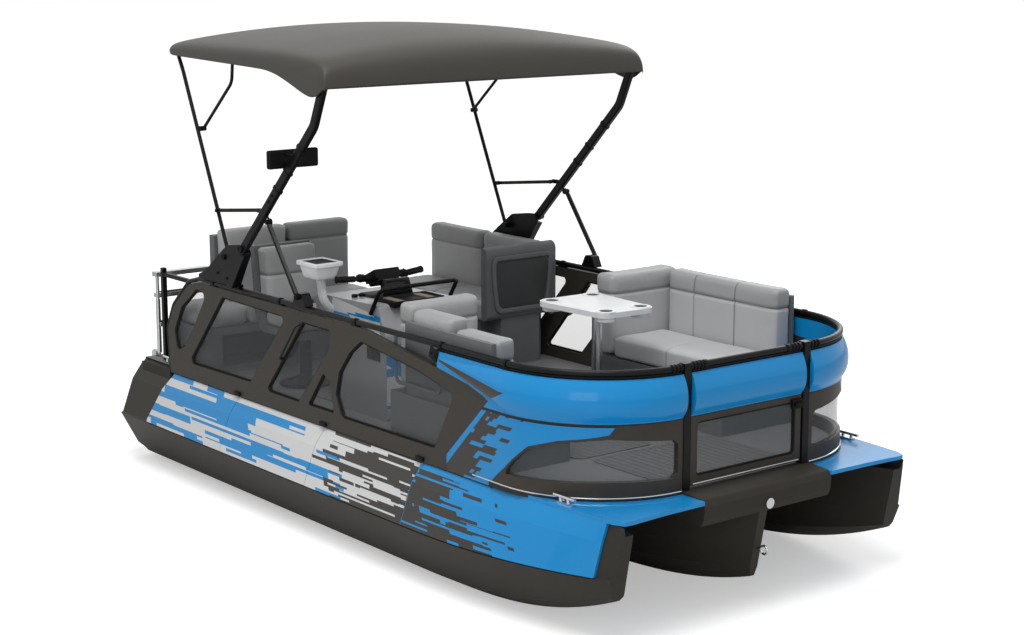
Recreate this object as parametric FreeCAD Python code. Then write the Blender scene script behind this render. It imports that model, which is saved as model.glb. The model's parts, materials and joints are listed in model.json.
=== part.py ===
import FreeCAD, Part
import math
import os

# Compact three-hulled pontoon boat with a jet drive.
# Millimetres. +X points to the bow, +Y to port, +Z up.
# The origin is under the middle of the boat, on the plane its keels stand on.

V = FreeCAD.Vector

# Small gap between parts that lie against each other, and clearance round a pin
TOUCH = 0.3
RUN = 0.3

# Hull lengths and widths
STERN_X = -2400.0
BOW_X = 2390.0
TAPER_X = 900.0
BEAM_HALF = 1245.0
RAKE = 0.19

# Side hull section, port side, outboard first
SHOULDER_Y = 1090.0
SHOULDER_Z = 640.0
CREASE_Y = 1165.0
CREASE_Z = 540.0
WIDE_Z = 320.0
PANEL_T = 14.0
CHINE_OUT_Y = 1105.0
CHINE_OUT_Z = 50.0
KEEL_OUT_Y = 1010.0
KEEL_IN_Y = 900.0
CHINE_IN_Y = 760.0
CHINE_IN_Z = 80.0
INNER_Y = 650.0
STEM_Y = 985.0
STEM_HALF = 40.0
STEM_WIDE_HALF = 70.0
KEEL_RISE = 240.0
HULL_TOP_Z = 585.0
SHELF_BACK = 120.0
SHELF_BOW = 30.0

# Centre hull section
CENTRE_HALF = 430.0
CENTRE_MID_HALF = 405.0
CENTRE_MID_Z = 300.0
CENTRE_CHINE_HALF = 335.0
CENTRE_CHINE_Z = 150.0
CENTRE_KEEL_HALF = 70.0
CENTRE_BOW_X = 2350.0
CENTRE_STERN_X = STERN_X + 250.0
CENTRE_STEM_HALF = 28.0
CENTRE_KEEL_RISE = 150.0

# Engine bay in the centre hull, and the engine's block
BAY_X0 = -1900.0
BAY_X1 = -1150.0
BAY_HALF = 260.0
BAY_Z0 = 170.0
ENGINE_L = 550.0
ENGINE_HALF = 200.0
ENGINE_H = 330.0

# Decorated side panels: seams between the moulded modules
PANEL_START_X = STERN_X + 390.0
SEAMS_X = [-1100.0, -130.0, 830.0]
PANEL_END_X = 2290.0
SEAM_GAP = 4.0

# Deck
DECK_Z = 673.0
DECK_T = 88.0
DECK_AFT_X = STERN_X + 30.0
FRONT_X = 2370.0
FRONT_HALF_MORE = 30.0
FRONT_FACE_H = 150.0
STERN_TRIM_H = 120.0
TRIM_DROP = 12.0
LIP_X = 1440.0
TOE = 5.0

# Side fence and bow corner
FENCE_Y = 1083.0
FENCE_T = 34.0
FENCE_Z0 = 648.0
STERN_TRIM_HALF = FENCE_Y + FENCE_T / 2 + TOE
CORNER_X = 1560.0
CORNER_R = 620.0
CORNER_Y = FENCE_Y - CORNER_R
GATE_X = CORNER_X + CORNER_R
POST_INSET = 33.0
POST_Y = CORNER_Y - POST_INSET
POST_W = 46.0
FRONT_HALF = POST_Y + FRONT_HALF_MORE
BAND_TOP_Z = 1280.0
BAND_LOW_Z = 1050.0
BULGE = 34.0
BULGE_AFT_X = 1010.0
GLASS_T = 5.0
RAIL_R = 17.0
RAIL_Z = 1312.0
RAIL_AFT_X = -1420.0
BORDER_R = 14.0
GATE_POST_T = 44.0

# Rail feet, on the fence's top edge and on the painted band
FOOT_L = 40.0
FOOT_W = 20.0
FENCE_TOP_Z = 1290.0
FENCE_FEET_X = [-1380.0, -600.0, 200.0]
BAND_FEET_X = [1010.0, CORNER_X]

# Stern post at starboard with the short rail that ties it to the fence
STERN_POST_X = STERN_X + 200.0
STERN_POST_Y = -1000.0
STERN_POST_W = 30.0
STERN_BAR_X1 = -1690.0
STERN_BAR_T = 20.0
STERN_BAR_H = 27.0
STERN_BAR_Z = 1235.0

# Fence outline and its windows, as x-z points with corner radii
FENCE_TOP = [(-1960, 648), (-1978, 940), (-1900, 1085), (-1690, 1262), (-1560, 1292), (262, 1290), (825, 1210),
             (1000, 1190), (1354, 1133), (1425, 1092), (1065, 735), (1065, 648)]
FENCE_ROUND = [0, 60, 60, 90, 80, 120, 60, 30, 30, 10, 10, 0]
BORDER = [(-1979, 673), (-1996, 943), (-1915, 1096), (-1702, 1279), (-1575, 1310.5), (-1410, 1310.5)]
WINDOW_A = [(-1587, 1245), (-1460, 1235), (-1615, 1020), (-1756, 850), (-1862, 800), (-1890, 936), (-1790, 1100)]
WINDOW_B = [(-1262, 1243), (-520, 1232), (-950, 760), (-1715, 748)]
WINDOW_C = [(-340, 1230), (-40, 1228), (-60, 1110), (-400, 740), (-770, 740)]
WINDOW_D = [(-130, 960), (-60, 930), (-20, 745), (-300, 742)]
WINDOW_E = [(265, 1215), (800, 1150), (1140, 1075), (960, 745), (60, 735), (0, 860), (40, 1000), (150, 1130)]
WINDOWS = [(WINDOW_A, 35), (WINDOW_B, 30), (WINDOW_C, 22), (WINDOW_D, 12), (WINDOW_E, 40)]
LOW_PANEL = [(1452, DECK_Z), (CORNER_X, DECK_Z), (CORNER_X, 768), (1505, 722)]
# Corner pane and band edge: angle round the bow corner in degrees, then heights
CORNER_PANE = [(2, 775, 925), (4.5, 752, 950), (20, 756, 966), (35, 758, 980), (45, 756, 972), (60, 750, 950),
               (75, 744, 900), (84, 741, 818), (88.5, 740, 765)]
BAND_EDGE = [(-2, 1050), (20, 1050), (33, 1047), (36, 1002), (45, 984), (60, 962), (75, 912), (84, 830), (90, 768),
             (92, 750)]
SWELL = [(0, 0), (12, 18), (25, 42), (33, 74), (34, 108), (28, 150), (14, 188), (0, 215)]
SWELL_Z = 1060.0

# Gate
GATE_GAP = 8.0
GATE_T = 30.0
GATE_FRAME_W = 42.0
GATE_Z0 = 690.0
GATE_HALF = POST_Y - POST_W / 2 - GATE_GAP
HINGE_R = 11.0
HINGE_X = GATE_X - 38.0
HINGE_Y = -(POST_Y - POST_W / 2 - 3.0)
HINGE_PIN_R = 5.0
HINGES_Z = [760.0, 1180.0]
HINGE_H = 50.0
GATE_FOOT_Y = 300.0

# Bimini top
ARCH_Y = 1134.0
ARCH_T = 36.0
ARCH_W = 56.0
ARCH_PIVOT = (-925.0, 1588.0)
ARCH_BEND = (-118.0, 2382.0)
ARCH_TOP = (8.0, 2662.0)
ARCH_BEND_R = 150.0
ARCH_BAR = (27.7, 2652.0)
ARCH_BAR_R = 16.0
PLATE_Y0 = FENCE_Y + 18.0
PLATE_Y1 = FENCE_Y + 28.0
PIVOT_PIN_R = 9.0
REAR_Y = 1074.0
REAR_R = 12.0
REAR_PIVOT = (-1205.0, 1500.0)
REAR_KNEE = (-1709.0, 2600.0)
REAR_TOP = (-1786.0, 2735.0)
REAR_CROWN = 92.0
MID_PIVOT = (-1528.0, 2259.0)
MID_Y = REAR_Y - 30.0
MID_R = 10.0
MID_EYE = 24.0
MID_KNEE = (-1170.0, 2562.0)
MID_TOP = (-1145.0, 2768.0)
MID_CROWN = 105.0
PROP_R = 10.0
PROP_Y = 1136.0
PROP_EYE = 15.4
PROP_PIN_R = 6.0
PROP_TOP = (-636.0, 1784.0)
PROP_FOOT = (-331.0, 1380.0)
LINK_PIVOT = (-1305.0, 1776.0)
LINK_END = (-750.0, 1838.0)
LINK_Y0 = REAR_Y + 14.3
LINK_Y1 = REAR_Y + 21.7
MIRROR_X = -440.0
MIRROR_Y = -1080.0
MIRROR_Z = 2172.0
CANOPY_T = 12.0

# Canopy sections: x, half width, skirt bottom, edge top, middle top
CANOPY = [(-1810, 1112, 2700, 2772, 2850), (-1700, 1118, 2698, 2785, 2872), (-1200, 1140, 2688, 2788, 2898),
          (-700, 1158, 2678, 2790, 2902), (-520, 1163, 2672, 2788, 2896), (-80, 1174, 2530, 2768, 2846),
          (10, 1175, 2575, 2742, 2800), (56, 1172, 2612, 2700, 2735)]

# Seats
SEAT_H = 300.0
SEAT_Z = DECK_Z + SEAT_H
CUSHION_T = 130.0
BACK_TOP_Z = 1473.0
BACK_T = 130.0
LID_GAP = 6.0
BASE_WALL = 25.0
BOARD_T = 28.0
BOARD_IN = 12.0

# Port lounge
LOUNGE_X0 = 600.0
LOUNGE_X1 = 1540.0
LOUNGE_Y0 = 450.0
LOUNGE_Y1 = 1050.0
LOUNGE_TAIL_X = 430.0

# Starboard forward bench
BENCH_X0 = 610.0
BENCH_X1 = 1400.0
BENCH_Y0 = -1050.0
BENCH_Y1 = -510.0
BENCH_TAIL_X = 480.0
BENCH_SPLIT_X = 1000.0

# Port companion seat
COMP_X0 = -1850.0
COMP_X1 = -640.0
COMP_Y0 = 480.0
COMP_Y1 = 1050.0
COMP_END_T = 60.0

# Stern bench
STERN_SEAT_X0 = STERN_X + 340.0
STERN_SEAT_X1 = STERN_SEAT_X0 + 470.0
STERN_SEAT_Y0 = -1040.0
STERN_SEAT_Y1 = 260.0
STERN_BACK_Y0 = -730.0
STERN_LID_GAP = 4.0
STERN_BOARD_T = 61.0
STERN_BACK_TOP_Z = 1560.0

# Helm chair
CHAIR_X = -1031.0
CHAIR_Y = -650.0
CHAIR_POST_H = 300.0
CHAIR_HALF = 205.0

# Helm console and handlebar
CONSOLE_X1 = 95.0
CONSOLE_Y0 = -815.0
CONSOLE_Y1 = -290.0
CONSOLE_SIDE = [(-440, DECK_Z), (CONSOLE_X1, DECK_Z), (CONSOLE_X1, 1180), (20, 1345), (-560, 1330), (-650, 1300),
                (-630, 1215), (-470, 1130), (-430, 1060)]
HELM_P = (-270.0, -550.0, 1349.0)
HELM_TILT = 25.0
HELM_STEM_R = 28.0
HELM_STEM_L = 60.0

# Table
TABLE_X = 810.0
TABLE_Y = 165.0
TABLE_Z = 1333.0
TABLE_T = 30.0

# Jet drive
PUMP_Z = 215.0
PUMP_R = 95.0
PUMP_WALL = 14.0
PUMP_X1 = CENTRE_STERN_X + 120.0
PUMP_X0 = PUMP_X1 - 150.0
PUMP_POCKET = 130.0
EXIT_R = 46.0
EXIT_WALL = 8.0
VENTURI_X = PUMP_X0 - 45.0
EXIT_X = VENTURI_X - 45.0
STATOR_R = 32.0
STATOR_X = PUMP_X0 + 65.0
SHAFT_R = 10.0
IMPELLER_X = STATOR_X + 5.0
IMPELLER_HUB_R = 28.0
NOZZLE_PIVOT_X = EXIT_X + 15.0
NOZZLE_X0 = NOZZLE_PIVOT_X - 90.0
NOZZLE_X1 = NOZZLE_PIVOT_X + 8.0
NOZZLE_IN = (60.0, 46.0)
NOZZLE_WALL = 6.0
NOZZLE_LUG_Z = 78.0
NOZZLE_PIN_R = 5.0
BUCKET_X = PUMP_X0 - 20.0
BUCKET_R = 178.0
BUCKET_T = 12.0
BUCKET_HALF = 118.0
BUCKET_PIN_R = 9.0
BUCKET_ARM_Y = 110.0
BUCKET_ARM_T = 10.0

# Boarding ladder at the starboard stern
LADDER_Y0 = -985.0
LADDER_Y1 = -625.0
LADDER_X = STERN_X + 80.0
LADDER_HINGE = (STERN_X + 8.0, 690.0)
LADDER_TUBE_R = 16.0
LADDER_ROD_R = 12.0
LADDER_Z0 = 700.0
LADDER_Z1 = 1060.0

# Fittings: the bow eye stands off the centre hull's stem
EYE_Z = 310.0
EYE_X = CENTRE_BOW_X - RAKE * (SHOULDER_Z - EYE_Z) + 51.0
EYE_R = 22.0
EYE_WIRE_R = 6.0
EYE_SHANK_R = 8.0


def box(x0, x1, y0, y1, z0, z1):
    """A block between two corners."""
    return Part.makeBox(x1 - x0, y1 - y0, z1 - z0, V(x0, y0, z0))


def cyl(p, axis, r, h):
    """A cylinder of radius r and height h from p along axis."""
    return Part.makeCylinder(r, h, V(*p), V(*axis))


def cone(p, axis, r0, r1, h):
    """A cone from radius r0 at p to radius r1 at height h along axis."""
    return Part.makeCone(r0, r1, h, V(*p), V(*axis))


def rod(p, q, r):
    """A round bar from p to q."""
    a = V(*p)
    d = V(*q) - a
    return Part.makeCylinder(r, d.Length, a, d)


def rounded_wire(points, radius):
    """A closed flat wire through 3-D points, with arcs of the radius at its corners."""
    pts = [V(*p) for p in points]
    n = len(pts)
    radii = radius if isinstance(radius, (list, tuple)) else [radius] * n
    starts = []
    ends = []
    arcs = []
    for i in range(n):
        p = pts[i]
        a = (pts[i - 1] - p).normalize()
        b = (pts[(i + 1) % n] - p).normalize()
        ang = a.getAngle(b)
        r = radii[i]
        if r < 0.5 or abs(ang - math.pi) < 0.02:
            starts.append(p)
            ends.append(p)
            arcs.append(None)
            continue
        cut = r / math.tan(ang / 2)
        s = p + a * cut
        e = p + b * cut
        mid_dir = (a + b).normalize()
        centre = p + mid_dir * (r / math.sin(ang / 2))
        starts.append(s)
        ends.append(e)
        arcs.append(Part.Arc(s, centre - mid_dir * r, e).toShape())
    edges = []
    for i in range(n):
        if arcs[i] is not None:
            edges.append(arcs[i])
        a = ends[i]
        b = starts[(i + 1) % n]
        if (b - a).Length > 1e-4:
            edges.append(Part.LineSegment(a, b).toShape())
    return Part.Wire(edges)


def prism_y(points, y0, y1, radius=0):
    """An x-z outline extruded from y0 to y1."""
    wire = rounded_wire([(x, y0, z) for x, z in points], radius)
    return Part.Face(wire).extrude(V(0, y1 - y0, 0))


def prism_z(points, z0, z1, radius=0):
    """An x-y outline extruded from z0 to z1."""
    wire = rounded_wire([(x, y, z0) for x, y in points], radius)
    return Part.Face(wire).extrude(V(0, 0, z1 - z0))


def prism_x(points, x0, x1, radius=0):
    """A y-z outline extruded from x0 to x1."""
    wire = rounded_wire([(x0, y, z) for y, z in points], radius)
    return Part.Face(wire).extrude(V(x1 - x0, 0, 0))


def port_to_starboard(shape):
    """The mirror image across the boat's centre plane."""
    return shape.mirror(V(0, 0, 0), V(0, 1, 0))


def both(shape):
    """A port piece with its starboard mirror image."""
    return Part.makeCompound([shape, port_to_starboard(shape)])


def fuse(shapes):
    """One solid out of overlapping pieces."""
    out = shapes[0]
    if len(shapes) > 1:
        out = out.fuse(shapes[1:])
    return out.removeSplitter()


def less(shape, tool):
    """A compound's solids, each with the tool cut away."""
    parts = []
    for solid in shape.Solids:
        parts += solid.cut(tool).Solids
    return Part.makeCompound(parts)


def soft(shape, r):
    """All edges of a block rounded, as on a cushion."""
    return shape.makeFillet(r, shape.Edges)


def upright(shape, length):
    """The edges of a block that stand upright and are at least this long."""
    return [e for e in shape.Edges if abs(e.BoundBox.ZMax - e.BoundBox.ZMin) > length]


def tube(points, r, bend):
    """A round tube through points, with a bend radius for all corners or one for each."""
    pts = [V(*p) for p in points]
    n = len(pts)
    bends = bend if isinstance(bend, (list, tuple)) else [bend] * (n - 2)
    parts = []
    here = pts[0]
    for i in range(1, n - 1):
        p = pts[i]
        a = (pts[i - 1] - p).normalize()
        b = (pts[i + 1] - p).normalize()
        ang = a.getAngle(b)
        cut = bends[i - 1] / math.tan(ang / 2)
        centre = p + (a + b).normalize() * (bends[i - 1] / math.sin(ang / 2))
        s = p + a * cut
        parts.append(Part.makeCylinder(r, (s - here).Length, here, s - here))
        disc = Part.Face(Part.Wire(Part.makeCircle(r, s, a)))
        turn = (s - centre).cross(a * -1)
        elbow = disc.revolve(centre, turn, 180 - math.degrees(ang))
        if elbow.Volume < 0:
            elbow.reverse()
        parts.append(elbow)
        here = p + b * cut
    parts.append(Part.makeCylinder(r, (pts[-1] - here).Length, here, pts[-1] - here))
    out = fuse(parts)
    if out.Volume < 0:
        out.reverse()
    return out


def ease(t, power):
    """How far a line has moved towards the stem."""
    return max(0.0, t) ** power


def bow_share(x, end):
    """0 where the hull begins to narrow and 1 at its stem."""
    return max(0.0, (x - TAPER_X) / (end - TAPER_X))


def raked(x, z, t):
    """The station's x at height z, with the stem's rake."""
    return x - RAKE * (SHOULDER_Z - z) * t * t


def shoulder(x):
    """The half width of the hull's top edge at x."""
    return SHOULDER_Y + (STEM_Y + STEM_HALF - SHOULDER_Y) * ease(bow_share(x, BOW_X), 3.0)


def side_points(x, inset):
    """The port hull's section at x. inset is the depth of the side panel's rebate."""
    t = bow_share(x, BOW_X)
    wide = BEAM_HALF + (STEM_Y + STEM_WIDE_HALF - BEAM_HALF) * ease(t, 2.2)
    wide_z = WIDE_Z + 45.0 * ease(t, 2.0)
    top = shoulder(x)
    crease = CREASE_Y + (STEM_Y + STEM_HALF + 12.0 - CREASE_Y) * ease(t, 2.4)
    chine = CHINE_OUT_Y + (STEM_Y + STEM_HALF - CHINE_OUT_Y) * ease(t, 2.0)
    chine_z = CHINE_OUT_Z + (KEEL_RISE - CHINE_OUT_Z + 20.0) * ease(t, 2.2)
    keel = KEEL_RISE * ease(t, 2.6)
    keel_out = KEEL_OUT_Y + (STEM_Y + 15.0 - KEEL_OUT_Y) * t
    keel_in = KEEL_IN_Y + (STEM_Y - 15.0 - KEEL_IN_Y) * t
    chine_in = CHINE_IN_Y + (STEM_Y - STEM_HALF - CHINE_IN_Y) * ease(t, 1.5)
    chine_in_z = CHINE_IN_Z + (KEEL_RISE - CHINE_IN_Z + 20.0) * ease(t, 2.2)
    inner = INNER_Y + (STEM_Y - STEM_HALF - INNER_Y) * ease(t, 1.5)
    flat = [
        (top - inset, SHOULDER_Z - inset * 0.4),
        (crease - inset, CREASE_Z - inset * 0.3),
        (wide - inset, wide_z),
        (wide, wide_z - 8.0),
        (chine, chine_z),
        (keel_out, keel),
        (keel_in, keel),
        (chine_in, chine_in_z),
        (inner, WIDE_Z),
        (inner, HULL_TOP_Z),
        (top - SHELF_BACK * (1.0 - t) - SHELF_BOW * t, HULL_TOP_Z),
    ]
    return [V(raked(x, z, t), y, z) for y, z in flat]


def panel_points(x):
    """The section of the decorated panel that lies in the hull's rebate."""
    outer = side_points(x, 0.0)
    inner = side_points(x, PANEL_T)
    return [outer[0], outer[1], outer[2], inner[2], inner[1], inner[0]]


def closed(points):
    """A closed flat face through points."""
    return Part.Face(Part.makePolygon(list(points) + [points[0]]))


def loft(rows, ruled=False):
    """A solid through closed sections."""
    wires = [Part.makePolygon(list(row) + [row[0]]) for row in rows]
    return Part.makeLoft(wires, True, ruled)


def stations(a, b, n):
    """Evenly spaced values."""
    return [a + (b - a) * i / (n - 1) for i in range(n)]


def side_hull():
    """The port hull: a straight run, then a bow that narrows and lifts to a raked stem."""
    back = closed(side_points(TAPER_X, PANEL_T)).extrude(V(STERN_X - TAPER_X, 0, 0))
    bow = loft([side_points(x, PANEL_T) for x in stations(TAPER_X, BOW_X, 9)])
    hull = fuse([back, bow])
    # The bottom steps up just ahead of the stern.
    step = prism_y([(STERN_X - 10, -10), (STERN_X + 110, -10), (STERN_X + 130, 0), (STERN_X + 110, 45),
                    (STERN_X + 60, 75), (STERN_X - 10, 95)], INNER_Y - 50, BEAM_HALF + 50)
    return hull.cut(step)


def side_panel():
    """The decorated panels on the port hull, one for each moulded module."""
    row = panel_points(0.0)
    pieces = []
    ends = [PANEL_START_X - 80.0] + SEAMS_X
    for a, b in zip(ends[:-1], ends[1:]):
        face = closed([V(a + SEAM_GAP / 2, p.y, p.z) for p in row])
        pieces.append(face.extrude(V(b - a - SEAM_GAP, 0, 0)))
    slant = prism_y([(PANEL_START_X - 200, 200), (PANEL_START_X - 90, 200), (PANEL_START_X + 110, 700),
                     (PANEL_START_X - 200, 700)], 900, BEAM_HALF + 50)
    pieces[0] = pieces[0].cut(slant)
    first = SEAMS_X[-1] + SEAM_GAP / 2
    straight = closed([V(first, p.y, p.z) for p in row]).extrude(V(TAPER_X - first, 0, 0))
    nose = loft([panel_points(x) for x in stations(TAPER_X, PANEL_END_X, 8)])
    pieces.append(fuse([straight, nose]))
    return Part.makeCompound(pieces)


def centre_points(x):
    """The centre hull's section at x."""
    t = bow_share(x, CENTRE_BOW_X)
    top = CENTRE_HALF + (CENTRE_STEM_HALF - CENTRE_HALF) * ease(t, 1.9)
    mid = CENTRE_MID_HALF + (CENTRE_STEM_HALF - CENTRE_MID_HALF) * ease(t, 1.8)
    chine = CENTRE_CHINE_HALF + (CENTRE_STEM_HALF - CENTRE_CHINE_HALF) * ease(t, 1.7)
    chine_z = CENTRE_CHINE_Z + 50.0 * ease(t, 2.0)
    keel_half = CENTRE_KEEL_HALF + (0.5 * CENTRE_STEM_HALF - CENTRE_KEEL_HALF) * t
    keel = CENTRE_KEEL_RISE * ease(t, 3.0)
    half = [(top, HULL_TOP_Z), (mid, CENTRE_MID_Z), (chine, chine_z), (keel_half, keel)]
    ring = half + [(-y, z) for y, z in reversed(half)]
    return [V(raked(x, z, t), y, z) for y, z in ring]


def centre_hull():
    """The centre hull with its engine bay and the recess for the jet pump."""
    back = closed(centre_points(TAPER_X)).extrude(V(CENTRE_STERN_X - TAPER_X, 0, 0))
    bow = loft([centre_points(x) for x in stations(TAPER_X, CENTRE_BOW_X, 9)])
    hull = fuse([back, bow])
    bay = box(BAY_X0, BAY_X1, -BAY_HALF, BAY_HALF, BAY_Z0, HULL_TOP_Z + 1)
    pocket = cyl((CENTRE_STERN_X - 1, 0, PUMP_Z), (1, 0, 0), PUMP_R + TOUCH, PUMP_POCKET + 1)
    return hull.cut(bay).cut(pocket)


def engine():
    """The closed-in engine as one plain block on the floor of its bay."""
    x0 = (BAY_X0 + BAY_X1 - ENGINE_L) / 2
    return box(x0, x0 + ENGINE_L, -ENGINE_HALF, ENGINE_HALF, BAY_Z0, BAY_Z0 + ENGINE_H)


def plan_round_corner(edge, r):
    """Half of a plan outline: a straight side, then a quarter round to the bow gate."""
    half = [(LIP_X, edge), (LIP_X, CORNER_Y + r), (CORNER_X, CORNER_Y + r)]
    for deg in range(80, -1, -10):
        a = math.radians(deg)
        half.append((CORNER_X + r * math.cos(a), CORNER_Y + r * math.sin(a)))
    return half


def deck_slab(edge, r, z0, z1):
    """A slab of the deck with rounded bow corners."""
    half = plan_round_corner(edge, r)
    plan = [(DECK_AFT_X, edge)] + half + [(x, -y) for x, y in reversed(half)] + [(DECK_AFT_X, -edge)]
    return prism_z(plan, z0, z1)


def deck():
    """The platform across the three hulls, with the rounded front block and stern trim."""
    low_z = DECK_Z - DECK_T
    inner = FENCE_Y - FENCE_T / 2 - TOUCH
    outer = FENCE_Y + FENCE_T / 2
    main = deck_slab(inner, CORNER_R + FENCE_T / 2 + TOE, FENCE_Z0 - 1, DECK_Z)
    under = deck_slab(inner + 8, CORNER_R - 20, low_z, FENCE_Z0)
    edge = box(DECK_AFT_X, LIP_X, -outer + 4, outer - 4, SHOULDER_Z + TOUCH, FENCE_Z0)
    front = prism_y([(CORNER_X, low_z), (FRONT_X - 60, DECK_Z - FRONT_FACE_H), (FRONT_X - 22, DECK_Z - FRONT_FACE_H),
                     (FRONT_X - 6, DECK_Z - FRONT_FACE_H + 40), (FRONT_X, DECK_Z - 45), (FRONT_X - 24, DECK_Z - 10),
                     (GATE_X + 40, DECK_Z), (CORNER_X, DECK_Z)],
                    -FRONT_HALF, FRONT_HALF, [0, 0, 15, 20, 15, 25, 0, 0])
    end = FENCE_TOP[0][0] - 2
    stern = prism_z([(STERN_X, -1060), (STERN_X + 60, -STERN_TRIM_HALF), (end, -STERN_TRIM_HALF),
                     (end, STERN_TRIM_HALF), (STERN_X + 60, STERN_TRIM_HALF), (STERN_X, 1060)],
                    DECK_Z - STERN_TRIM_H, DECK_Z - TRIM_DROP)
    rim = [e for e in stern.Edges if abs(e.BoundBox.ZMax - e.BoundBox.ZMin) < 1 and e.BoundBox.XMax < end - 5]
    stern = stern.makeFillet(25, rim)
    return fuse([main, under, edge, front, stern])


def bow_corner():
    """The painted plate ahead of the port fence, from the side to the front block."""
    outline = [(x, shoulder(x)) for x in stations(LIP_X + 1, 2330.0, 10)]
    outline += [(2386, 1005), (2392, 960), (2384, 880), (2374, 720), (FRONT_X, FRONT_HALF + TOUCH),
                (LIP_X + 1, FRONT_HALF + TOUCH)]
    return prism_z(outline, SHOULDER_Z + TOUCH, DECK_Z - TRIM_DROP)


def corner_arc(r0, r1, z0, z1):
    """A quarter of a round wall in the port bow corner between two radii."""
    c = V(CORNER_X, CORNER_Y, z0)
    a = Part.makeCylinder(r1, z1 - z0, c, V(0, 0, 1), 90)
    b = Part.makeCylinder(r0, z1 - z0, c, V(0, 0, 1), 90)
    return a.cut(b)


def corner_cutter(rows):
    """A thick band in the port bow corner with its own height range at each angle."""
    sections = []
    for deg, z0, z1 in rows:
        c = math.cos(math.radians(deg))
        s = math.sin(math.radians(deg))
        r0 = CORNER_R - 60
        r1 = CORNER_R + 60
        sections.append([V(CORNER_X + r0 * c, CORNER_Y + r0 * s, z0), V(CORNER_X + r1 * c, CORNER_Y + r1 * s, z0),
                         V(CORNER_X + r1 * c, CORNER_Y + r1 * s, z1), V(CORNER_X + r0 * c, CORNER_Y + r0 * s, z1)])
    return loft(sections, True)


def fence():
    """The port side frame with its windows cut out, and the lower panel round the bow corner."""
    y0 = FENCE_Y - FENCE_T / 2
    y1 = FENCE_Y + FENCE_T / 2
    side = prism_y(FENCE_TOP, y0, y1, FENCE_ROUND)
    for outline, r in WINDOWS:
        side = side.cut(prism_y(outline, y0 - 5, y1 + 5, r))
    low = prism_y(LOW_PANEL, y0, y1)
    wall = corner_arc(CORNER_R - FENCE_T / 2, CORNER_R + FENCE_T / 2, DECK_Z, BAND_LOW_Z)
    wall = wall.cut(corner_cutter([(deg, z, BAND_TOP_Z) for deg, z in BAND_EDGE]))
    wall = wall.cut(corner_cutter(CORNER_PANE))
    post = box(GATE_X - FENCE_T / 2, GATE_X + FENCE_T / 2, POST_Y + POST_W / 2 + TOUCH, CORNER_Y, DECK_Z, BAND_LOW_Z)
    return Part.makeCompound([side, fuse([low, wall, post])])


def swell_face(at, out, share, drop):
    """The swell's section at a point, bulging along out."""
    pts = [V(*at) + V(*out) * (dy * share - 1) + V(0, 0, SWELL_Z + dz * share + drop) for dy, dz in SWELL]
    curve = Part.BSplineCurve()
    curve.interpolate(pts)
    return Part.Wire([curve.toShape(), Part.LineSegment(pts[-1], pts[0]).toShape()])


def bow_band():
    """The painted port band above the lower corner panel, with its bulged outer face."""
    y0 = FENCE_Y - FENCE_T / 2
    y1 = FENCE_Y + FENCE_T / 2
    g = 1.0
    side = prism_y([(985, BAND_TOP_Z), (985, 1196), (1002, 1190 + g), (1355, 1133 + g), (1426 + g, 1092),
                    (1066 + g, 735), (1066 + g, FENCE_Z0), (LIP_X - g, FENCE_Z0), (LIP_X - g, DECK_Z + g),
                    (1451, DECK_Z + g), (1504, 722 + g), (CORNER_X, 768 + g), (CORNER_X, BAND_TOP_Z)], y0, y1)
    corner = corner_arc(CORNER_R - FENCE_T / 2, CORNER_R + FENCE_T / 2, DECK_Z + 50, BAND_TOP_Z)
    corner = corner.cut(corner_cutter([(deg, DECK_Z, z + g) for deg, z in BAND_EDGE]))
    full = swell_face((CORNER_X, y1, 0), (0, 1, 0), 1.0, 0.0)
    round_swell = Part.Face(full).revolve(V(CORNER_X, CORNER_Y, 0), V(0, 0, 1), -90)
    tail = swell_face((BULGE_AFT_X, y1, 0), (0, 1, 0), 0.12, 160.0)
    side_swell = Part.makeLoft([full, tail], True, True)
    end = POST_Y + POST_W / 2 + TOUCH
    flat = box(GATE_X - FENCE_T / 2, GATE_X + FENCE_T / 2, end, CORNER_Y, BAND_LOW_Z + g, BAND_TOP_Z)
    front = swell_face((GATE_X + FENCE_T / 2, CORNER_Y, 0), (1, 0, 0), 1.0, 0.0)
    front = Part.Face(front).extrude(V(0, end - CORNER_Y, 0))
    return fuse([side, corner, round_swell, side_swell, flat, front])


def glass():
    """The port panes, set in the middle of the fence's thickness."""
    y0 = FENCE_Y - GLASS_T / 2
    y1 = FENCE_Y + GLASS_T / 2
    panes = [prism_y(outline, y0, y1, r) for outline, r in WINDOWS]
    bent = corner_arc(CORNER_R - GLASS_T / 2, CORNER_R + GLASS_T / 2, DECK_Z + 10, BAND_LOW_Z)
    return Part.makeCompound(panes + [bent.common(corner_cutter(CORNER_PANE))])


def quarter_rail(z):
    """The port rail: along the side, round the corner and on to the gate post."""
    side = rod((RAIL_AFT_X, FENCE_Y, z), (CORNER_X, FENCE_Y, z), RAIL_R)
    disc = Part.Face(Part.Wire(Part.makeCircle(RAIL_R, V(CORNER_X, FENCE_Y, z), V(1, 0, 0))))
    ring = disc.revolve(V(CORNER_X, CORNER_Y, z), V(0, 0, 1), -90)
    tip = rod((GATE_X, CORNER_Y, z), (GATE_X, POST_Y, z), RAIL_R)
    return fuse([side, ring, tip])


def saddle(x, y, z0, along):
    """A rail foot: a block under the rail, hollowed to the rail's round."""
    long = FOOT_L / 2
    thin = FOOT_W / 2
    if along == "x":
        block = box(x - long, x + long, y - thin, y + thin, z0, RAIL_Z)
        hollow = cyl((x - FOOT_L, y, RAIL_Z), (1, 0, 0), RAIL_R + TOUCH, 2 * FOOT_L)
    else:
        block = box(x - thin, x + thin, y - long, y + long, z0, RAIL_Z)
        hollow = cyl((x, y - FOOT_L, RAIL_Z), (0, 1, 0), RAIL_R + TOUCH, 2 * FOOT_L)
    return block.cut(hollow)


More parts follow.
